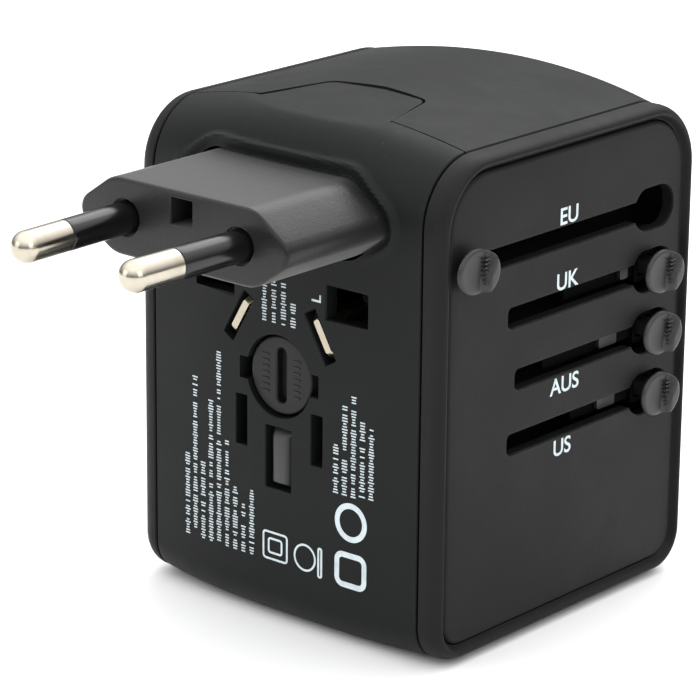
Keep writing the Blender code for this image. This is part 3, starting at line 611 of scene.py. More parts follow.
def ticks(name, rows, pitch, bar, look, shortest=1.0, gaps=0.0, bulge=0.0, seed=1):
    """Bars along rows, which are pairs of end points. Sizes are in millimetres."""
    shape = bmesh.new()
    for row in rows:
        ends = [shape.verts.new(Vector(point) * MM) for point in row]
        shape.edges.new(ends)
    made = own_shape(name, shape)
    change = made.modifiers.new("ticks", "NODES")
    change.node_group = TICKS
    values = {"Pitch": pitch * MM, "Bar": Vector(bar) * MM, "Shortest": shortest, "Gaps": gaps,
              "Bulge": bulge / MM, "Seed": seed, "Material": look}
    for item in TICKS.interface.items_tree:
        if item.in_out == "INPUT" and item.name in values:
            change[item.identifier] = values[item.name]
    bake(made)
    return made


# ---- outlines
def share_of(x):
    return min(abs(x), SEAM_X) / SEAM_X


def form(x):
    """On one side: crown of the plug face, and the rim's reach across the width and inwards."""
    return (1.4, 3.0, 3.0) if x < 0 else (CROWN_Y, 2.0, 1.0)


def face_y(x):
    """Where the bulging plug face lies at one place across it."""
    return form(x)[0] * share_of(x) ** 2 - HALF_D


def housing_outline(x, inset=0.0, steps=12, top_stops=(), face_stops=()):
    """The housing's side-view outline at one station across its width, as (y, z) points."""
    _, rim_r, rim_in = form(x)
    past = max(0.0, abs(x) - (HALF_W - rim_r))
    rim = rim_in * (1 - sqrt(max(0.0, 1 - (past / rim_r) ** 2)))
    foot = max(0.0, (min(abs(x), SEAM_X) - FOOT_HALF) / (SEAM_X - FOOT_HALF))
    inwards = rim + inset
    back, top = HALF_D - CROWN_Y * share_of(x) ** 2 - inwards, HEIGHT - CROWN_Z * share_of(x) ** 2 - inwards
    tighter = 0.6 * rim + inset
    return rounded(face_y(x) + inwards, CROWN_FOOT * foot**2 + inwards, back, top,
                   CORNER_R + share_of(x) ** 2 - tighter, steps, top_stops, face_stops, FOOT_R - tighter)


def stations(low, high, pitch):
    count = max(1, round((high - low) / pitch))
    return [low + (high - low) * i / count for i in range(count + 1)]


def plug_outline(grow=0.0):
    """The flat hexagon of the European plug with round side points and softer shoulders."""
    half_w, half_h, flat = EU_HALF_W + grow, EU_HALF_H + grow, EU_FLAT + 0.4 * grow
    slope = atan2(half_h, half_w - flat)
    tip = half_w - EU_NOSE_R + EU_NOSE_R / sin(slope)
    nose, shoulder = EU_NOSE_R, EU_SHOULDER_R
    corners = [(tip, 0.0, nose), (flat, half_h, shoulder), (-flat, half_h, shoulder),
               (-tip, 0.0, nose), (-flat, -half_h, shoulder), (flat, -half_h, shoulder)]
    return [(x, z + EU_Z) for x, z in softened(corners)]


def off_plug(x, z):
    """How far a point on the plug face lies outside the European plug's outline."""
    spot, nearest, inside = Vector((x, z)), 1e9, False
    for i, end in enumerate(PLUG_EDGE):
        start = PLUG_EDGE[i - 1]
        along = end - start
        share = max(0.0, min(1.0, (spot - start).dot(along) / along.length_squared))
        nearest = min(nearest, (spot - start - along * share).length)
        if (start.y > z) != (end.y > z) and x < start.x + along.x * (z - start.y) / along.y:
            inside = not inside
    return -nearest if inside else nearest


def tongue_outline(grow=0.0):
    end, tip, root = TONGUE_END_Y + grow, TONGUE_TIP + grow, TONGUE_ROOT + grow
    corners = [(root, SEAM_Y - 1.0, 0.01), (root, SEAM_Y, 0.8), (tip, end - 1.2, 2.0), (0.0, end, 6.0),
               (-tip, end - 1.2, 2.0), (-root, SEAM_Y, 0.8), (-root, SEAM_Y - 1.0, 0.01)]
    return softened(corners)


def panel_outline(grow, side):
    """A side panel's outline, inside the rim of its frame."""
    crown, _, rim_in = form(side)
    inwards = rim_in + PANEL_INSET - grow
    tighter = 0.6 * rim_in + PANEL_INSET - grow
    return rounded(crown + inwards - HALF_D, CROWN_FOOT + inwards, HALF_D - CROWN_Y - inwards,
                   HEIGHT - CROWN_Z - inwards, CORNER_R + 1.0 - tighter, 14, low_radius=FOOT_R - tighter)


def smooth(value):
    value = max(0.0, min(1.0, value))
    return value * value * (3 - 2 * value)


# ---- front shell
PLUG_EDGE = [Vector(point) for point in plug_outline()]
LIP_OUT, LIP_WIDTH, LIP_HEIGHT = 1.35, 0.95, 0.6
LIP_FROM_Z, LIP_GROWS, LIP_TURN_Z = 50.0, 7.0, 58.0  # it grows in above the first, and follows the top edge
TONGUE_RISE, TONGUE_SOFT = 0.38, 0.12
FLARE, MOUTH_DEPTH = 0.14, 9.0  # small chamfer at the mouth of an aperture, and the cutter's depth
BOSS_R, SCREW_HOLE_R = 2.2, 1.3
FUSE_NOTCH = (13.2, 2.9)
WELL_GROW, WELL_FLOOR_Y = 0.4, -20.0  # recess that the European plug comes out of


def mouth_levels(x, plain, wide, facing, surface):
    """A cutter's levels from inside a wall out into the open, with a small chamfer at the surface."""
    level = face_y(x) if surface is None else surface
    return [(plain, level - facing * MOUTH_DEPTH), (plain, level - facing * FLARE),
            (wide, level + facing * FLARE), (wide, level + facing * 4)]


def mouth(centre, size, lean=0.0, facing=-1, surface=None):
    """A cutter for a slot in the plug face or the socket face."""
    plain = bar_outline(centre, *size, 0.12, lean, 2)
    wide = bar_outline(centre, size[0] + 4 * FLARE, size[1] + 4 * FLARE, 0.12 + FLARE, lean, 2)
    return steps_of("mouth", "Y", mouth_levels(centre[0], plain, wide, facing, surface))


def round_mouth(centre, radius, facing=-1, surface=None):
    levels = mouth_levels(centre[0], radius, radius + 2 * FLARE, facing, surface)
    return turned("mouth", "Y", centre, levels)


def raised(x, y, z):
    """Moves a point of the front shell: the soft lip round the plug and the flat on the tongue."""
    if y < -14.0 and z > 40.0:
        away = off_plug(x, z) - LIP_OUT
        if abs(away) < LIP_WIDTH:
            lift = LIP_HEIGHT * cos(away / LIP_WIDTH * pi / 2) ** 2 * smooth((z - LIP_FROM_Z) / LIP_GROWS)
            lean = max(0.0, min(1.0, (z - LIP_TURN_Z) / CORNER_R))
            y -= lift * cos(lean * pi / 2)
            z += lift * sin(lean * pi / 2)
    fade = 1.6 if x < 0 else 0.4
    if z > TONGUE_Z - 1.5 and abs(x) < TONGUE_ROOT + fade:
        flat = TONGUE_Z + TONGUE_RISE * smooth((y - SEAM_Y) / (TONGUE_END_Y - SEAM_Y))
        level = -TONGUE_SOFT * log(exp((flat - z) / TONGUE_SOFT) + 1.0) + flat
        z += (level - z) * smooth((TONGUE_ROOT + fade - abs(x)) / fade)
    return x, y, z


def hollow():
    """A cutter for the space inside both shells."""
    return skin("cavity", [[(x, y, z) for y, z in housing_outline(x, WALL, 6)]
                           for x in stations(-SHELL_EDGE - 1, SHELL_EDGE + 1, 2.5)])


def at_screws(profile, sides=24):
    """A turned body at each case screw."""
    return [turned("at_screw", "Y", (at.x, at.z), profile, sides) for at in SCREWS]


def make_front_shell():
    edge = SHELL_EDGE
    top_stops = [17.0 - i for i in range(0, 12)] + [5.0 - 0.8 * i for i in range(28)]
    lowest_stop, stops = 47.0, 64
    rings = []
    half = [*stations(0.0, 11.0, 0.4), *stations(11.2, 21.0, 0.18), 21.5, 22.0, edge - 0.12, edge]
    for x in [-x for x in reversed(half[1:])] + half:
        inset = SEAM_SOFT if abs(x) == edge else 0.0
        arc_end = HEIGHT - CORNER_R - (CROWN_Z + 1.0) * share_of(x) ** 2
        face_stops = [arc_end + (lowest_stop - arc_end) * i / stops for i in range(1, stops + 1)]
        outline = housing_outline(x, inset, 34, top_stops, face_stops)
        rings.append([raised(x, y, z) for y, z in outline])
    shell = skin("front_shell_skin", rings)
    region = box("region", (-30, -40, -5), (30, SEAM_Y - GAP / 2, 80))
    join(region, prism("tongue", tongue_outline(-GAP / 2), "Z", 50.0, 80.0))
    keep(shell, region)
    cut(shell, hollow())
    join(shell, *at_screws([(BOSS_R, -24.0), (BOSS_R, -3.0)]))
    tools = at_screws([(SCREW_HOLE_R, -15.0), (SCREW_HOLE_R, -2.0)])
    tools.append(prism("well", plug_outline(WELL_GROW), "Y", -34.0, WELL_FLOOR_Y))
    for side in (-1, 1):
        tools.append(mouth((side * UK_X, UK_Z), UK_HOLE))
        tools.append(mouth((side * US_X, US_Z), US_HOLE))
        tools.append(mouth((side * AUS_X, AUS_Z), AUS_HOLE, -side * AUS_LEAN))
    tools.append(mouth((0.0, UK_EARTH_Z), UK_EARTH_HOLE))
    tools.append(mouth((0.0, FUSE_Z), FUSE_NOTCH))
    tools.append(round_mouth((0.0, FUSE_Z), FUSE_BORE_R))
    cut(shell, *tools)
    settle(shell, BLACK, "housing", "black_plastic", ["front_shell"])


# ---- rear shell
SINK_R, PORT_HALF_X, PORT_HALF_Y = 2.2, 6.85, 3.1


def make_rear_shell():
    edge = SHELL_EDGE
    places = [-edge, -edge + 0.12, *stations(-edge + 0.5, edge - 0.5, 1.0), edge - 0.12, edge]
    rings = [[(x, y, z) for y, z in housing_outline(x, SEAM_SOFT if abs(x) == edge else 0.0, 16)]
             for x in places]
    shell = skin("rear_shell_skin", rings)
    region = box("region", (-30, SEAM_Y + GAP / 2, -5), (30, 40, 80))
    cut(region, prism("tongue", tongue_outline(GAP / 2), "Z", 50.0, 90.0))
    keep(shell, region)
    cut(shell, hollow())
    join(shell, *at_screws([(BOSS_R, -2.6), (BOSS_R, 24.5)]))
    tools = at_screws([(SCREW_HOLE_R, -4.0), (SCREW_HOLE_R, 30.0)])
    tools += at_screws([(SINK_R, SCREW_HEAD_Y - GAP), (SINK_R, 24.0), (2.6, 26.0), (2.6, 30)], 32)
    window = []
    for grow, level in ((0, 20), (0, HALF_D - 0.45), (0.5, HALF_D + 0.05), (0.5, 30)):
        half = WINDOW_HALF + grow
        window.append((rounded(-half, WINDOW_Z0 - grow, half, WINDOW_Z1 + grow, 5.0 + grow), level))
    tools.append(steps_of("window", "Y", window))
    for port in PORTS:
        levels = [(around(port.x, port.y, PORT_HALF_X + grow, PORT_HALF_Y + grow, 0.3 + grow, 4), level)
                  for grow, level in ((0.35, -2.0), (0.35, 0.05), (0.0, 0.45), (0.0, 3.6))]
        tools.append(steps_of("port", "Z", levels))
    cut(shell, *tools)
    settle(shell, BLACK, "housing", "black_plastic", ["rear_shell"])


# ---- sides
GROOVE = 0.45  # the soft groove's bottom lies this far inside the panel's own outline
GROOVE_DEPTH, PANEL_EDGE_R = 1.0, 0.6


def slot_tools():
    """Cutters for the sliders' slots and their wider latch windows, with a small chamfer outside."""
    tools = []
    for key, z in SLIDER_Z.items():
        for grow, low, high in ((0.0, 20.0, PANEL_X + 1), (FLARE, PANEL_X - FLARE, PANEL_X + 1)):
            slot = rounded(SLOT_FRONT[key] - grow, z - SLOT_H / 2 - grow, LATCH_Y, z + SLOT_H / 2 + grow,
                           0.75 + grow, 6)
            half_h = LATCH_H / 2 + grow
            hole = around(LATCH_Y, z, LATCH_L / 2 + grow, half_h, half_h - 0.1, 12)
            tools += [prism("slot", slot, "X", low, high), prism("hole", hole, "X", low, high)]
    return tools


def make_side(side):
    """A side frame with its rounded rim and the soft groove inside it, and the panel in the middle."""
    word = "right" if side > 0 else "left"
    seam = SEAM_X + GAP / 2
    rim_r = form(side)[1]
    rim_start = HALF_W - rim_r
    outer = [(seam, SEAM_SOFT), (seam + SEAM_SOFT, 0.0)]
    outer += [(x, 0.0) for x in stations(seam + 0.2, rim_start, 0.5)]
    outer += [(rim_start + rim_r * sin(t), 0.0) for t in quarter(12)[1:-1]]
    rings = [[(side * x, y, z) for y, z in housing_outline(side * x, inset, 14)] for x, inset in outer]
    slope = []
    for t in [i / 10 for i in range(11)]:
        grow = (PANEL_INSET - 0.06) * (1 - t) - GROOVE * t
        slope.append((HALF_W - 0.03 - GROOVE_DEPTH * smooth(t), grow))
    for x, grow in [*slope, (HALF_W - 1.5, -GROOVE), (seam, -GROOVE)]:
        rings.append([(side * x, y, z) for y, z in panel_outline(grow, side)])
    ring = skin(word + "_side_rim", rings, closed=True)
    settle(ring, SIDE_BLACK, "housing", "black_plastic", [word + "_side_frame"])
    grow = -GROOVE - GAP / 2
    levels = [(panel_outline(grow, side), side * (PANEL_X - PANEL_T))]
    levels += [(panel_outline(grow - inwards, side), side * (PANEL_X - drop))
               for inwards, drop in fillet(PANEL_EDGE_R, 8)]
    node_name = "slider_panel" if side > 0 else "left_panel"
    panel = steps_of(node_name + "_face", "X", levels)
    if side > 0:
        cut(panel, *slot_tools())
        between = (SLIDER_Z["eu"] - SLIDER_Z["uk"]) / 2
        ribs = [box("rib", (21.6, -19.5, SLIDER_Z[key] + between - 0.6),
                    (PANEL_X - PANEL_T + 0.2, 21.0, SLIDER_Z[key] + between + 0.6))
                for key in ("uk", "aus", "us")]
        join(panel, *ribs)
    settle(panel, SIDE_BLACK, "housing", "black_plastic", [node_name])


# ---- sliders
KNOB_R, KNOB_ROUND = 3.05, 0.5
KNOB_UNDER, KNOB_DISH, KNOB_RIDGE = 26.6, 27.3, 28.4
KNOB_LONG, KNOB_TALL = 1.08, 0.96  # the round knob is drawn out along its slot


def knob_height(y, z):
    """The knob's top over its own centre: a low thumb dish, then a ridge behind an S-shaped step."""
    border = 1.35 + 0.55 * sin(z / KNOB_R * pi * 0.8)
    bowl = 0.10 * (1 - min(1.0, hypot(y + 0.8, z) / 2.4) ** 2)
    return KNOB_DISH + (KNOB_RIDGE - KNOB_DISH) * smooth((y - border) / 0.7 + 0.5) - bowl


def make_knob(key):
    at_y, at_z = span(key + "_knob")[0].y + KNOB_R, SLIDER_Z[key]
    profile = [(KNOB_R - 0.25, KNOB_UNDER, 0.0), (KNOB_R, KNOB_UNDER + 0.2, 0.0)]
    profile += [(KNOB_R - inwards, None, drop) for inwards, drop in fillet(KNOB_ROUND, 6)]
    profile += [(radius, None, 0.0) for radius in (2.3, 2.05, 1.8, 1.55, 1.3, 1.05, 0.8, 0.5, 0.2)]
    rings = []
    for radius, level, drop in profile:
        ring = []
        for y, z in circle(0.0, 0.0, radius, 72):
            height = level if level is not None else knob_height(y, z) - drop
            ring.append((height, at_y + KNOB_LONG * y, at_z + KNOB_TALL * z))
        rings.append(ring)
    cap = skin(key + "_knob_cap", rings)
    stem = rounded(at_y, at_z - 0.95, at_y + 2.6, at_z + 0.95, 0.3, 4)
    join(cap, prism("stem", stem, "X", 22.3, KNOB_UNDER + 0.3))
    settle(cap, KNOB, key + "_button", "knob_grey", [key + "_knob"], 40)
    on_step = KNOB_DISH + 0.30
    rows = [((on_step, at_y + 0.95, at_z + z), (on_step, at_y + 1.45, at_z + z + 0.02))
            for z in (-1.5, -1.0, -0.5, 0.0, 0.5, 1.0, 1.5)]
    marks = ticks(key + "_knob_ribs", rows, 0.5, (0.5, 0.38, 0.16), KNOB)
    settle(marks, KNOB, key + "_button", "knob_grey")


def make_spring(key):
    """A close coil under the knob, with flat ends."""
    low, high = span(key + "_knob_spring")
    wire, turns, steps = 0.11, 4, 20
    radius = (high.z - low.z) / 2 - wire
    curve = bpy.data.curves.new(key + "_coil", "CURVE")
    curve.dimensions = "3D"
    curve.bevel_depth = wire * MM
    curve.bevel_resolution = 2
    curve.use_fill_caps = True
    spline = curve.splines.new("POLY")
    total = turns * steps
    spline.points.add(total)
    centre_y, centre_z = (low.y + high.y) / 2, (low.z + high.z) / 2
    for i, point in enumerate(spline.points):
        t = 2 * pi * i / steps
        x = low.x + wire + (high.x - low.x - 2 * wire) * i / total
        point.co = (x * MM, (centre_y + radius * cos(t)) * MM, (centre_z + radius * sin(t)) * MM, 1.0)
    coil = own(key + "_spring_coil", from_curve(key + "_coil_guide", curve))
    settle(coil, STEEL, key + "_plug", "steel", [key + "_knob_spring"])
    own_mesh(coil)


# ---- plugs
EARTH_REACH, EARTH_SINK = 0.9, 0.3  # the earth pin's end stands out further and narrows downwards


def make_blades():
    """Flat pins along Y: each one's size, its tip's size, how far back the tip runs, and its lean."""
    for node_name, look, slot, size, tip, run, lean, key in (
        ("uk_pin_line", NICKEL, "nickel", (6.3, 3.9), (5.0, 2.4), 1.6, 0.0, "uk"),
        ("uk_pin_neutral", NICKEL, "nickel", (6.3, 3.9), (5.0, 2.4), 1.6, 0.0, "uk"),
        ("uk_earth_pin", EARTH, "dark_plastic", (3.9, 7.9), (1.9, 5.9), 1.4, 0.0, "uk"),
        # the Australian blades take the darker copy of the nickel, which is painted shade
        ("aus_blade_left", SHADED_NICKEL, "nickel", (1.6, 6.5), (0.95, 4.4), 1.1, AUS_LEAN, "aus"),
        ("aus_blade_right", SHADED_NICKEL, "nickel", (1.6, 6.5), (0.95, 4.4), 1.1, -AUS_LEAN, "aus"),
        ("us_blade_left", NICKEL, "nickel", (1.5, 6.3), (0.9, 5.0), 1.2, 0.0, "us"),
        ("us_blade_right", NICKEL, "nickel", (1.5, 6.3), (0.9, 5.0), 1.2, 0.0, "us"),
    ):
        low, high = span(node_name)
        at = middle(node_name)
        end_y, sink = (low.y - EARTH_REACH, EARTH_SINK) if look is EARTH else (low.y, 0.0)
        levels = []
        for share, y in ((1.0, end_y), (0.72, end_y + 0.2), (0.0, end_y + run), (0.0, high.y)):
            width, height = (full + (end - full) * share for full, end in zip(size, tip))
            levels.append((bar_outline((at.x, at.z - sink * share), width, height, 0.3, lean), y))
        settle(steps_of(node_name + "_bar", "Y", levels), look, key + "_plug", slot, [node_name])


PLUG_ROUND, PLUG_REAR_INSET = 0.5, 0.3
SLEEVE_WELL_R, SLEEVE_WELL_MOUTH_R = 2.24, 2.45
PLUG_HOLE_W, PLUG_HOLE_H, PLUG_HOLE_UP = 3.5, 3.4, 2.3


def make_european_plug():
    """Moulded body with soft edges, and two sleeved round pins that lean slightly inwards."""
    levels = [(plug_outline(-inset), EU_FRONT + back) for back, inset in fillet(PLUG_ROUND, 6)]
    levels += [(plug_outline(), y) for y in stations(EU_FRONT + 2, EU_REAR - PLUG_REAR_INSET, 2.0)]
    levels.append((plug_outline(-PLUG_REAR_INSET), EU_REAR))
    body = steps_of("eu_plug_moulding", "Y", levels)
    well = [(SLEEVE_WELL_MOUTH_R, EU_FRONT - 1), (SLEEVE_WELL_MOUTH_R, EU_FRONT),
            (SLEEVE_WELL_R + 0.02, EU_FRONT + 0.22), (SLEEVE_WELL_R, EU_FRONT + 8)]
    tools = [turned("well", "Y", (side * EU_PIN_BASE_X, EU_Z), well) for side in (-1, 1)]
    centre = (0.0, EU_Z + PLUG_HOLE_UP)
    square = [(bar_outline(centre, PLUG_HOLE_W + grow, PLUG_HOLE_H + grow, 0.15, 0.0, 2), EU_FRONT + back)
              for grow, back in ((0.3, -1), (0.3, -0.02), (0.0, 0.15), (0.0, 6))]
    tools.append(steps_of("hole", "Y", square))
    cut(body, *tools)
    settle(body, SATIN, "eu_plug", "plug_black", ["eu_plug_body"])
    drift = (EU_PIN_BASE_X - EU_PIN_TIP_X) / (EU_FRONT - EU_TIP)
    for side, word in ((-1, "left"), (1, "right")):
        def at(radius, y):
            x = side * (EU_PIN_BASE_X - drift * (EU_FRONT - y))
            return [(a, y, b) for a, b in circle(x, EU_Z, radius, 56)]

        bare, root = EU_SLEEVE_END - 0.06, EU_FRONT + 7.6
        rings = [at(EU_PIN_R * sin(t), EU_TIP + EU_PIN_R * (1 - cos(t))) for t in quarter(12)[1:]]
        rings += [at(EU_PIN_R, bare - 0.1), at(EU_PIN_R - 0.08, bare), at(1.3, bare), at(1.3, root)]
        pin = skin(f"eu_pin_{word}_bar", rings)
        settle(pin, NICKEL, "eu_plug", "nickel", [f"eu_pin_{word}"])
        start, end = EU_SLEEVE_END + 0.02, EU_FRONT + 7.4
        rings = [at(1.6, end), at(1.6, start), at(EU_PIN_R - 0.12, start), at(EU_PIN_R - 0.02, start + 0.1),
                 at(EU_PIN_R, start + 0.25)]
        rings += [at(EU_PIN_R, y) for y in stations(start + 1, end, 2.0)]
        sleeve = skin(f"eu_sleeve_{word}_tube", rings, closed=True)
        settle(sleeve, SLEEVE, "eu_plug", "sleeve_black", [f"eu_sleeve_{word}"])


def make_rail_tabs():
    """The pale stop on each slider's rail, seen through its slot."""
    for key, start, length in (("uk", 13.4, 1.6), ("aus", 9.3, 3.7), ("us", 9.3, 3.7)):
        z = SLIDER_Z[key]
        outline = rounded(start, z - 0.95, start + length, z + 0.8, 0.3, 4)
        tab = prism(key + "_rail_stop", outline, "X", 22.4, 23.45)
        settle(tab, GUIDE_GREY, key + "_plug", "knob_grey")


# ---- fuse
def make_fuse():
    """The cap with its coin slot, its two bayonet ears and the two ribs beside the slot."""
    face = span("fuse_cap")[0].y
    profile = [(CAP_R - inset, face + back) for back, inset in fillet(0.35, 5)]
    profile += [(CAP_R, -23.5), (3.4, -23.5), (3.4, -21.6)]
    cap = turned("fuse_cap_head", "Y", (0.0, FUSE_Z), profile, 72)
    join(cap, box("ears", (-1.3, -23.25, FUSE_Z - 6.2), (1.3, -22.1, FUSE_Z + 6.2)))
    slot, wide = around(0.0, FUSE_Z, 0.8, 3.6, 0.78), around(0.0, FUSE_Z, 0.98, 3.78, 0.96)
    cut(cap, steps_of("coin_slot", "Y", [(wide, face - 1), (wide, face), (slot, face + 0.18), (slot, -24.2)]))
    settle(cap, DARK, "fuse_door", "dark_plastic", ["fuse_cap"])
    rows = [((x, face - 0.02, FUSE_Z - 2.4), (x, face - 0.02, FUSE_Z + 2.4)) for x in (-2.6, 2.6)]
    marks = ticks("fuse_cap_ribs", rows, 0.8, (1.1, 0.16, 0.22), DARK)
    settle(marks, DARK, "fuse_door", "dark_plastic")


# ---- printed marks
INK_T = 0.05  # thickness of a printed mark


def lettering(name, words, height, place):
    """A short region code as a thin solid. place turns (right, up, out) into a point in millimetres."""
    curve = bpy.data.curves.new(name, "FONT")
    curve.body = words
    curve.size = 1.0
    curve.extrude = 0.02
    curve.offset = 0.013
    shape = bmesh.new()
    shape.from_mesh(from_curve(name + "_guide", curve))
    bmesh.ops.remove_doubles(shape, verts=shape.verts, dist=1e-5)
    low = Vector([min(v.co[i] for v in shape.verts) for i in range(3)])
    high = Vector([max(v.co[i] for v in shape.verts) for i in range(3)])
    scale = height / (high.y - low.y)
    for vert in shape.verts:
        right = (vert.co.x - (low.x + high.x) / 2) * scale * 1.06
        up = (vert.co.y - low.y) * scale
        out = INK_T / 2 if vert.co.z > 0 else -INK_T
        vert.co = Vector(place(right, up, out))
    return from_bmesh(name, shape)


def band(name, outline, width, place):
    """A closed line of ink along an outline."""
    count = len(outline)
    rings = []
    for i, (a, b) in enumerate(outline):
        before, after = Vector(outline[i - 1]), Vector(outline[(i + 1) % count])
        along = (after - before).normalized()
        side = Vector((along.y, -along.x)) * width / 2
        rings.append([place(a + side.x * k, b + side.y * k, out)
                      for k, out in ((-1, -INK_T), (1, -INK_T), (1, INK_T / 2), (-1, INK_T / 2))])
    return skin(name, rings, closed=True)


def on_panel(y0, z0):
    return lambda right, up, out: (PANEL_X + out, y0 + right, z0 + up)


def on_face(x0, z0):
    return lambda right, up, out: (x0 + right, face_y(x0 + right) - out, z0 + up)


def printed(name, pieces):
    """Marks gathered into one piece of pale ink."""
    settle(gather(name, pieces), PRINT, "housing", "black_plastic", angle=20)


def make_prints():
    labels = {"eu": (-0.35, 52.72), "uk": (-0.3, 44.3), "aus": (-0.4, 30.7), "us": (-0.5, 22.4)}
    made = [lettering(key + "_label", key.upper(), 2.2, on_panel(y, z)) for key, (y, z) in labels.items()]
    line = lettering("line_label", "L", 1.5,
                     lambda right, up, out: (7.0 - up, face_y(6.4) - out, UK_Z + 0.2 + right))
    printed("region_codes", made + [line])
    level = -HALF_D - 0.02
    # rows of short ticks: where each row is across the face, where it starts, and its length
    left = [(-16.2 + 1.47 * i, 8.3 + 0.03 * i, length) for i, length in
            enumerate((10.9, 21.6, 10.3, 19.0, 25.8, 14.2, 8.3, 6.3, 8.5))]
    centre = [(-2.3 + 1.6 * i, 40.3, length) for i, length in enumerate((8.5, 7.8, 5.6, 2.9))]
    right = [(9.6 + 1.42 * i, 20.3, length) for i, length in enumerate((6.2, 11.5, 13.0, 10.0, 9.4))]
    lines = []
    for side, block in ((-1, left + centre), (1, right)):
        rows = [((x, level, z), (x, level, z + length)) for x, z, length in block]
        lines.append(ticks("print_lines", rows, 0.36, (0.95, 0.08, 0.17), PRINT, 0.45, 0.16,
                           form(side)[0] / SEAM_X**2, 7))
    printed("small_print", lines)
    printed("plain_signs", [band("sign", outline, width, on_face(x, z)) for outline, width, x, z in (
        (around(0, 0, 2.0, 1.8, 0.4, 3), 0.28, -0.4, 10.5),
        (around(0, 0, 1.1, 0.95, 0.3, 3), 0.28, -0.4, 10.5),
        (circle(0, 0, 1.7, 32), 0.28, 4.6, 10.3),
        (around(0, 0, 0.25, 1.9, 0.2, 3), 0.3, 7.1, 10.2),
        (circle(0, 0, 2.2, 40), 0.75, 12.1, 16.8),
        (around(0, 0, 2.2, 2.0, 0.9, 6), 0.75, 12.1, 10.4),
    )])


# ---- back and underside
def make_socket_plate():
    half, z0, z1, corner = WINDOW_HALF - GAP, WINDOW_Z0 + GAP, WINDOW_Z1 - GAP, 4.7
    flange = rounded(-half - 1.5, z0 - 0.9, half + 1.5, z1 + 1.3, 5.0)
    levels = [(flange, 21.6), (flange, 22.6), (rounded(-half, z0, half, z1, corner), 22.7)]
    levels += [(rounded(-half + inset, z0 + inset, half - inset, z1 - inset, corner - inset),
                SOCKET_FACE - drop) for inset, drop in fillet(0.5, 5)]
    plate = steps_of("socket_face", "Y", levels)
    outwards = {"facing": 1, "surface": SOCKET_FACE}
    tools = []
    for side in (-1, 1):
        tools.append(mouth((side * UK_X, SOCKET_Z), UK_HOLE, **outwards))
        tools.append(round_mouth((side * 9.5, SOCKET_Z), PLATE_ROUND_R, **outwards))
        tools.append(mouth((side * US_X, SOCKET_Z), US_HOLE, **outwards))
        tools.append(mouth((side * 7.92, SOCKET_Z + 1.2), AUS_HOLE, -side * AUS_LEAN, **outwards))
    tools.append(mouth((0.0, SOCKET_EARTH_Z), UK_EARTH_HOLE, **outwards))
    tools.append(round_mouth((0.0, SOCKET_Z + 11.9), PLATE_ROUND_R, **outwards))
    cut(plate, *tools)
    settle(plate, BLACK, "housing", "black_plastic", ["socket_plate"])


SHELL_X, SHELL_Y = 6.55, 2.8  # half a USB shell's width and depth


def make_ports():
    """Folded steel USB shells with a tongue and its four gold strips."""
    for number, port in enumerate(PORTS, 1):
        outer = around(port.x, port.y, SHELL_X, SHELL_Y, 0.55, 5)
        inner = around(port.x, port.y, SHELL_X - 0.4, SHELL_Y - 0.35, 0.4, 5)
        flare = around(port.x, port.y, SHELL_X - 0.1, SHELL_Y - 0.1, 0.5, 5)
        levels = [(outer, 14.1), (outer, 0.6), (flare, 0.5), (inner, 0.9), (inner, 13.5)]
        shell = steps_of(f"usb_shell_{number}", "Z", levels)
        settle(shell, NICKEL, "housing", "nickel", [f"usb_socket_{number}"])
        tip = rounded(port.x - 5.5, port.y + 0.35, port.x + 5.5, port.y + 1.8, 0.2, 3)
        full = rounded(port.x - 5.6, port.y + 0.15, port.x + 5.6, port.y + 2.0, 0.2, 3)
        tongue = steps_of(f"usb_tongue_{number}", "Z", [(tip, 5.4), (full, 5.9), (full, 13.4)])
        settle(tongue, DARK, "housing", "dark_plastic")
        rows = [((port.x - 3.5, port.y + 0.13, 9.6), (port.x + 3.5, port.y + 0.13, 9.6))]
        strips = ticks(f"usb_strips_{number}", rows, 2.33, (1.0, 0.1, 7.0), BRASS)
        settle(strips, BRASS, "housing", "brass")


HEAD_R = 1.9


def make_screws():
    """Pan-head screws with a cross recess."""
    for number, at in enumerate(SCREWS, 1):
        top = SCREW_HEAD_Y + 1.1
        profile = [(0.3, -12.0), (1.0, -11.0), (1.0, SCREW_HEAD_Y), (HEAD_R, SCREW_HEAD_Y)]
        profile += [(HEAD_R - inwards, top - drop) for inwards, drop in fillet(0.55, 5)]
        screw = turned(f"case_screw_{number}_head", "Y", (at.x, at.z), profile, 40)
        arm = bar_outline((at.x, at.z), 2.2, 0.5, 0.1, 0.0, 2)
        post = bar_outline((at.x, at.z), 0.5, 2.2, 0.1, 0.0, 2)
        cut(screw, *[prism("cross", outline, "Y", top - 0.7, top + 1) for outline in (arm, post)])
        settle(screw, STEEL, "housing", "steel", [f"case_screw_{number}"])


# ---- inside
def make_transformer():
    """Ferrite core with its taped winding and the copper ends."""
    low, high = span("charger_transformer")
    core = [box("core", (low.x, y0, low.z), (high.x, y1, high.z))
            for y0, y1 in ((low.y, low.y + 3.2), (high.y - 3.2, high.y))]
    settle(gather("transformer_core", core), DARK, "housing", "dark_plastic", ["charger_transformer"])
    outline = rounded(low.x + 1.4, low.z + 1.2, high.x - 1.4, high.z - 1.0, 1.8, 6)
    wound = steps_of("transformer_winding", "Y", [(outline, low.y + 3.4), (outline, high.y - 3.4)])
    settle(wound, TAPE, "housing", "coil_tape")
    x = low.x + 1.32
    rows = [((x, low.y + 3.7, z), (x, high.y - 3.7, z)) for z in (low.z + 3.2, high.z - 3.2)]
    turns = ticks("transformer_wire", rows, 0.45, (0.16, 0.3, (high.z - low.z) / 2), COPPER)
    settle(turns, COPPER, "housing", "brass")


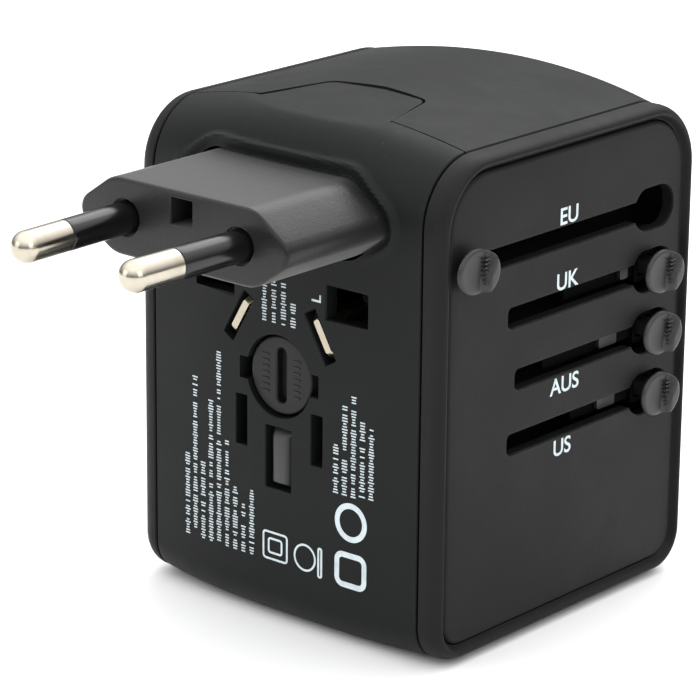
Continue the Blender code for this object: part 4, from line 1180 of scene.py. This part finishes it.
CAD_LOOKS = (
    (INNER, "guide_plate eu_carriage uk_carriage aus_carriage us_carriage slider_guide contact_carrier"),
    (DARK, "fuse_holder"),
    (GLASS, "fuse_glass"),
    (NICKEL, "fuse_end_cap_front fuse_end_cap_rear"),
    (BRASS, "fuse_contact line_socket_contact neutral_socket_contact earth_socket_contact"),
    (BRASS, "line_busbar neutral_busbar"),
    (BOARD, "charger_board"),
    (CAN, "charger_capacitor_1 charger_capacitor_2 charger_capacitor_3"),
)


def dress_cad_nodes():
    """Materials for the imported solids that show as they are."""
    for look, names in CAD_LOOKS:
        for name in names.split():
            for place in NODES[name].material_slots:
                place.material = look


# ---- studio
AZIMUTH, ELEVATION, ROLL = radians(40.603), radians(17.697), radians(0.54)
CAMERA_AT = Vector((276.5, -334.8, 169.1))
LIGHT_AIM = Vector((0.0, 0.0, 0.04))  # in metres, as the lights' places are


def make_camera():
    data = bpy.data.cameras.new("camera")
    data.lens = 179.65
    data.sensor_width = 36.0
    data.clip_start, data.clip_end = 0.01, 20.0
    camera = own("camera", data)
    right = Vector((cos(AZIMUTH), sin(AZIMUTH), 0.0))
    back = Vector((sin(AZIMUTH) * cos(ELEVATION), -cos(AZIMUTH) * cos(ELEVATION), sin(ELEVATION)))
    up = back.cross(right)
    across = right * cos(ROLL) + up * sin(ROLL)
    upright = up * cos(ROLL) - right * sin(ROLL)
    turn = Matrix((across, upright, back)).transposed().to_4x4()
    camera.matrix_world = Matrix.Translation(CAMERA_AT * MM) @ turn
    bpy.context.scene.camera = camera


def area_light(name, place, size, power):
    """A soft rectangular light, aimed at the middle of the adapter."""
    data = bpy.data.lights.new(name, "AREA")
    data.shape = "RECTANGLE"
    data.size, data.size_y = size
    data.energy = power
    lamp = own(name, data)
    lamp.location = place
    lamp.rotation_euler = (LIGHT_AIM - Vector(place)).to_track_quat("-Z", "Y").to_euler()


def make_studio():
    shape = bmesh.new()
    bmesh.ops.create_grid(shape, x_segments=2, y_segments=2, size=4000.0)
    floor = from_bmesh("floor", shape)
    floor.location.z = -0.02 * MM
    paint, tree, shader = material("floor_paint", 0.7)
    shader.inputs["Base Color"].default_value = (0.96, 0.96, 0.96, 1.0)
    floor.data.materials.append(paint)
    area_light("back_key", (-0.25, 0.75, 0.95), (0.9, 0.7), 4.0)
    area_light("front_fill", (-0.55, -0.9, 0.35), (0.6, 0.6), 1.6)
    area_light("side_fill", (0.9, -0.25, 0.45), (0.5, 0.6), 1.6)
    world = bpy.data.worlds.new("studio")
    world.use_nodes = True
    sky, tree = world.node_tree.nodes["Background"], world.node_tree
    sky.inputs["Color"].default_value = (1.0, 1.0, 1.0, 1.0)
    toward = node(tree, "ShaderNodeTexCoord").outputs["Generated"]
    height = node(tree, "ShaderNodeSeparateXYZ", Vector=toward).outputs["Z"]
    tree.links.new(span_map(tree, height, 0.15, 0.75, 0.26, 2.0), sky.inputs["Strength"])
    bpy.context.scene.world = world
    bpy.context.scene.view_settings.view_transform = "Standard"


make_camera()
make_studio()
make_front_shell()
make_rear_shell()
for side in (-1, 1):
    make_side(side)
for key in SLIDERS:
    make_knob(key)
    make_spring(key)
make_blades()
make_european_plug()
make_rail_tabs()
make_fuse()
make_prints()
make_socket_plate()
make_ports()
make_screws()
make_transformer()
dress_cad_nodes()
